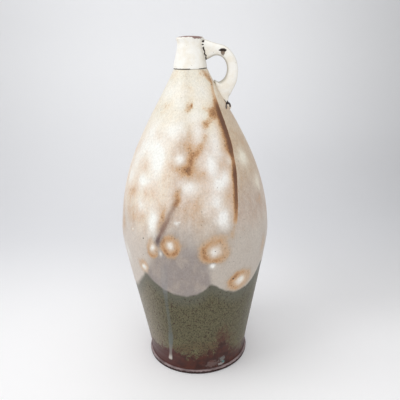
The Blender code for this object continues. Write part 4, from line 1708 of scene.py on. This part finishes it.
def handle_material():
    """Cream, with bare spots, the crack at the neck, the arch round the pellet, and painted shade along the
    strap's outer and inner edges.
    """
    bench = Finish("cream_glaze_on_handle")
    across = bench.stored("strap_across")
    out, back, height = [bench.over(part, MM) for part in bench.split(bench.place)]
    ragged = bench.wobble(bench.place, 1.6, 0.25)
    in_front = bench.fade(back, *FRONT_SIDE)
    drop = mark(bench, out, height, ragged, BROWN_DROP, MARK_SOFTNESS)
    spots_off = [
        mark(bench, out, height, ragged, ellipse, MARK_SOFTNESS, lean) for *ellipse, lean in HANDLE_MARKS
    ]
    crawled = bench.times(strongest(bench, spots_off), in_front)
    bare = strongest(bench, (crawled, neck_crack(bench, height), pellet_arch(bench, 0.25)))
    colour = bench.lay(
        cream(bench),
        # painted shade along the strap's outer edge, and darker along its inner edge round the finger hole
        (bench.fade(across, *OUTER_EDGE, 0, 0.75), NECK_SHADE),
        (bench.fade(across, *INNER_EDGE, 0, 0.85), HOLLOW_SHADE),
        (bench.times(drop, in_front, 0.85), DROP_BROWN),
        (bare, BARE_CLAY),
    )
    return finish_cream(bench, colour)


coat(handle, handle_material())


# %% Glaze the pellet
def pellet_material():
    """Cream gone tan, with the dark arch round its top."""
    bench = Finish("cream_glaze_on_pellet")
    colour = bench.blend(0.5, cream(bench), RIGHT_TAN)
    return finish_cream(bench, bench.blend(pellet_arch(bench, 0.1), colour, BARE_CLAY))


coat(pellet, pellet_material())

# %% [markdown]
# ## The foot's bare clay
# The potter wiped the foot clean, so the red-brown clay is bare. The lip's upper edge has a pale
# line, a painted highlight with some pale wear in it, and the clay is mottled with a near-black
# painted shade for the side under the lip. The pale line could follow the mesh's sharp edges, but
# only one edge has it here, so its height says where.

# %% Finish the foot
# painted highlight with some pale wear: the pale line on the lip's upper edge
WORN_AND_HIGHLIT_EDGE = fired(160, 142, 142)
# painted shade: near-black for the slab's side under the lip
PAINTED_SIDE_SHADE = fired(42, 28, 28)
PALE_EDGE_LEVELS = (3.1, 4.0)


def foot_material():
    """Red-brown clay mottled with near-black painted shade, and a patchy pale line on the lip: painted
    highlight with some wear.
    """
    bench = PotFinish("bare_clay_foot")
    # near-black painted shade mottled into the clay, for the slab's side under the lip
    clay = bench.blend(bench.clouds(bench.place, 9, 4), PAINTED_SIDE_SHADE, CLAY_DARK)
    # the pale line on the lip's upper edge: painted highlight, with some pale wear
    pale_edge = bench.fade(bench.plus(bench.height, bench.wobble(bench.place, 4, 0.5)), *PALE_EDGE_LEVELS)
    patchy = bench.fade(bench.clouds(bench.place, 14), 0.36, 0.6, 0.45, 0.95)
    clay = bench.blend(bench.times(pale_edge, patchy), clay, WORN_AND_HIGHLIT_EDGE)
    return bench.done(clay, 0.55, SATIN)


coat(foot, foot_material())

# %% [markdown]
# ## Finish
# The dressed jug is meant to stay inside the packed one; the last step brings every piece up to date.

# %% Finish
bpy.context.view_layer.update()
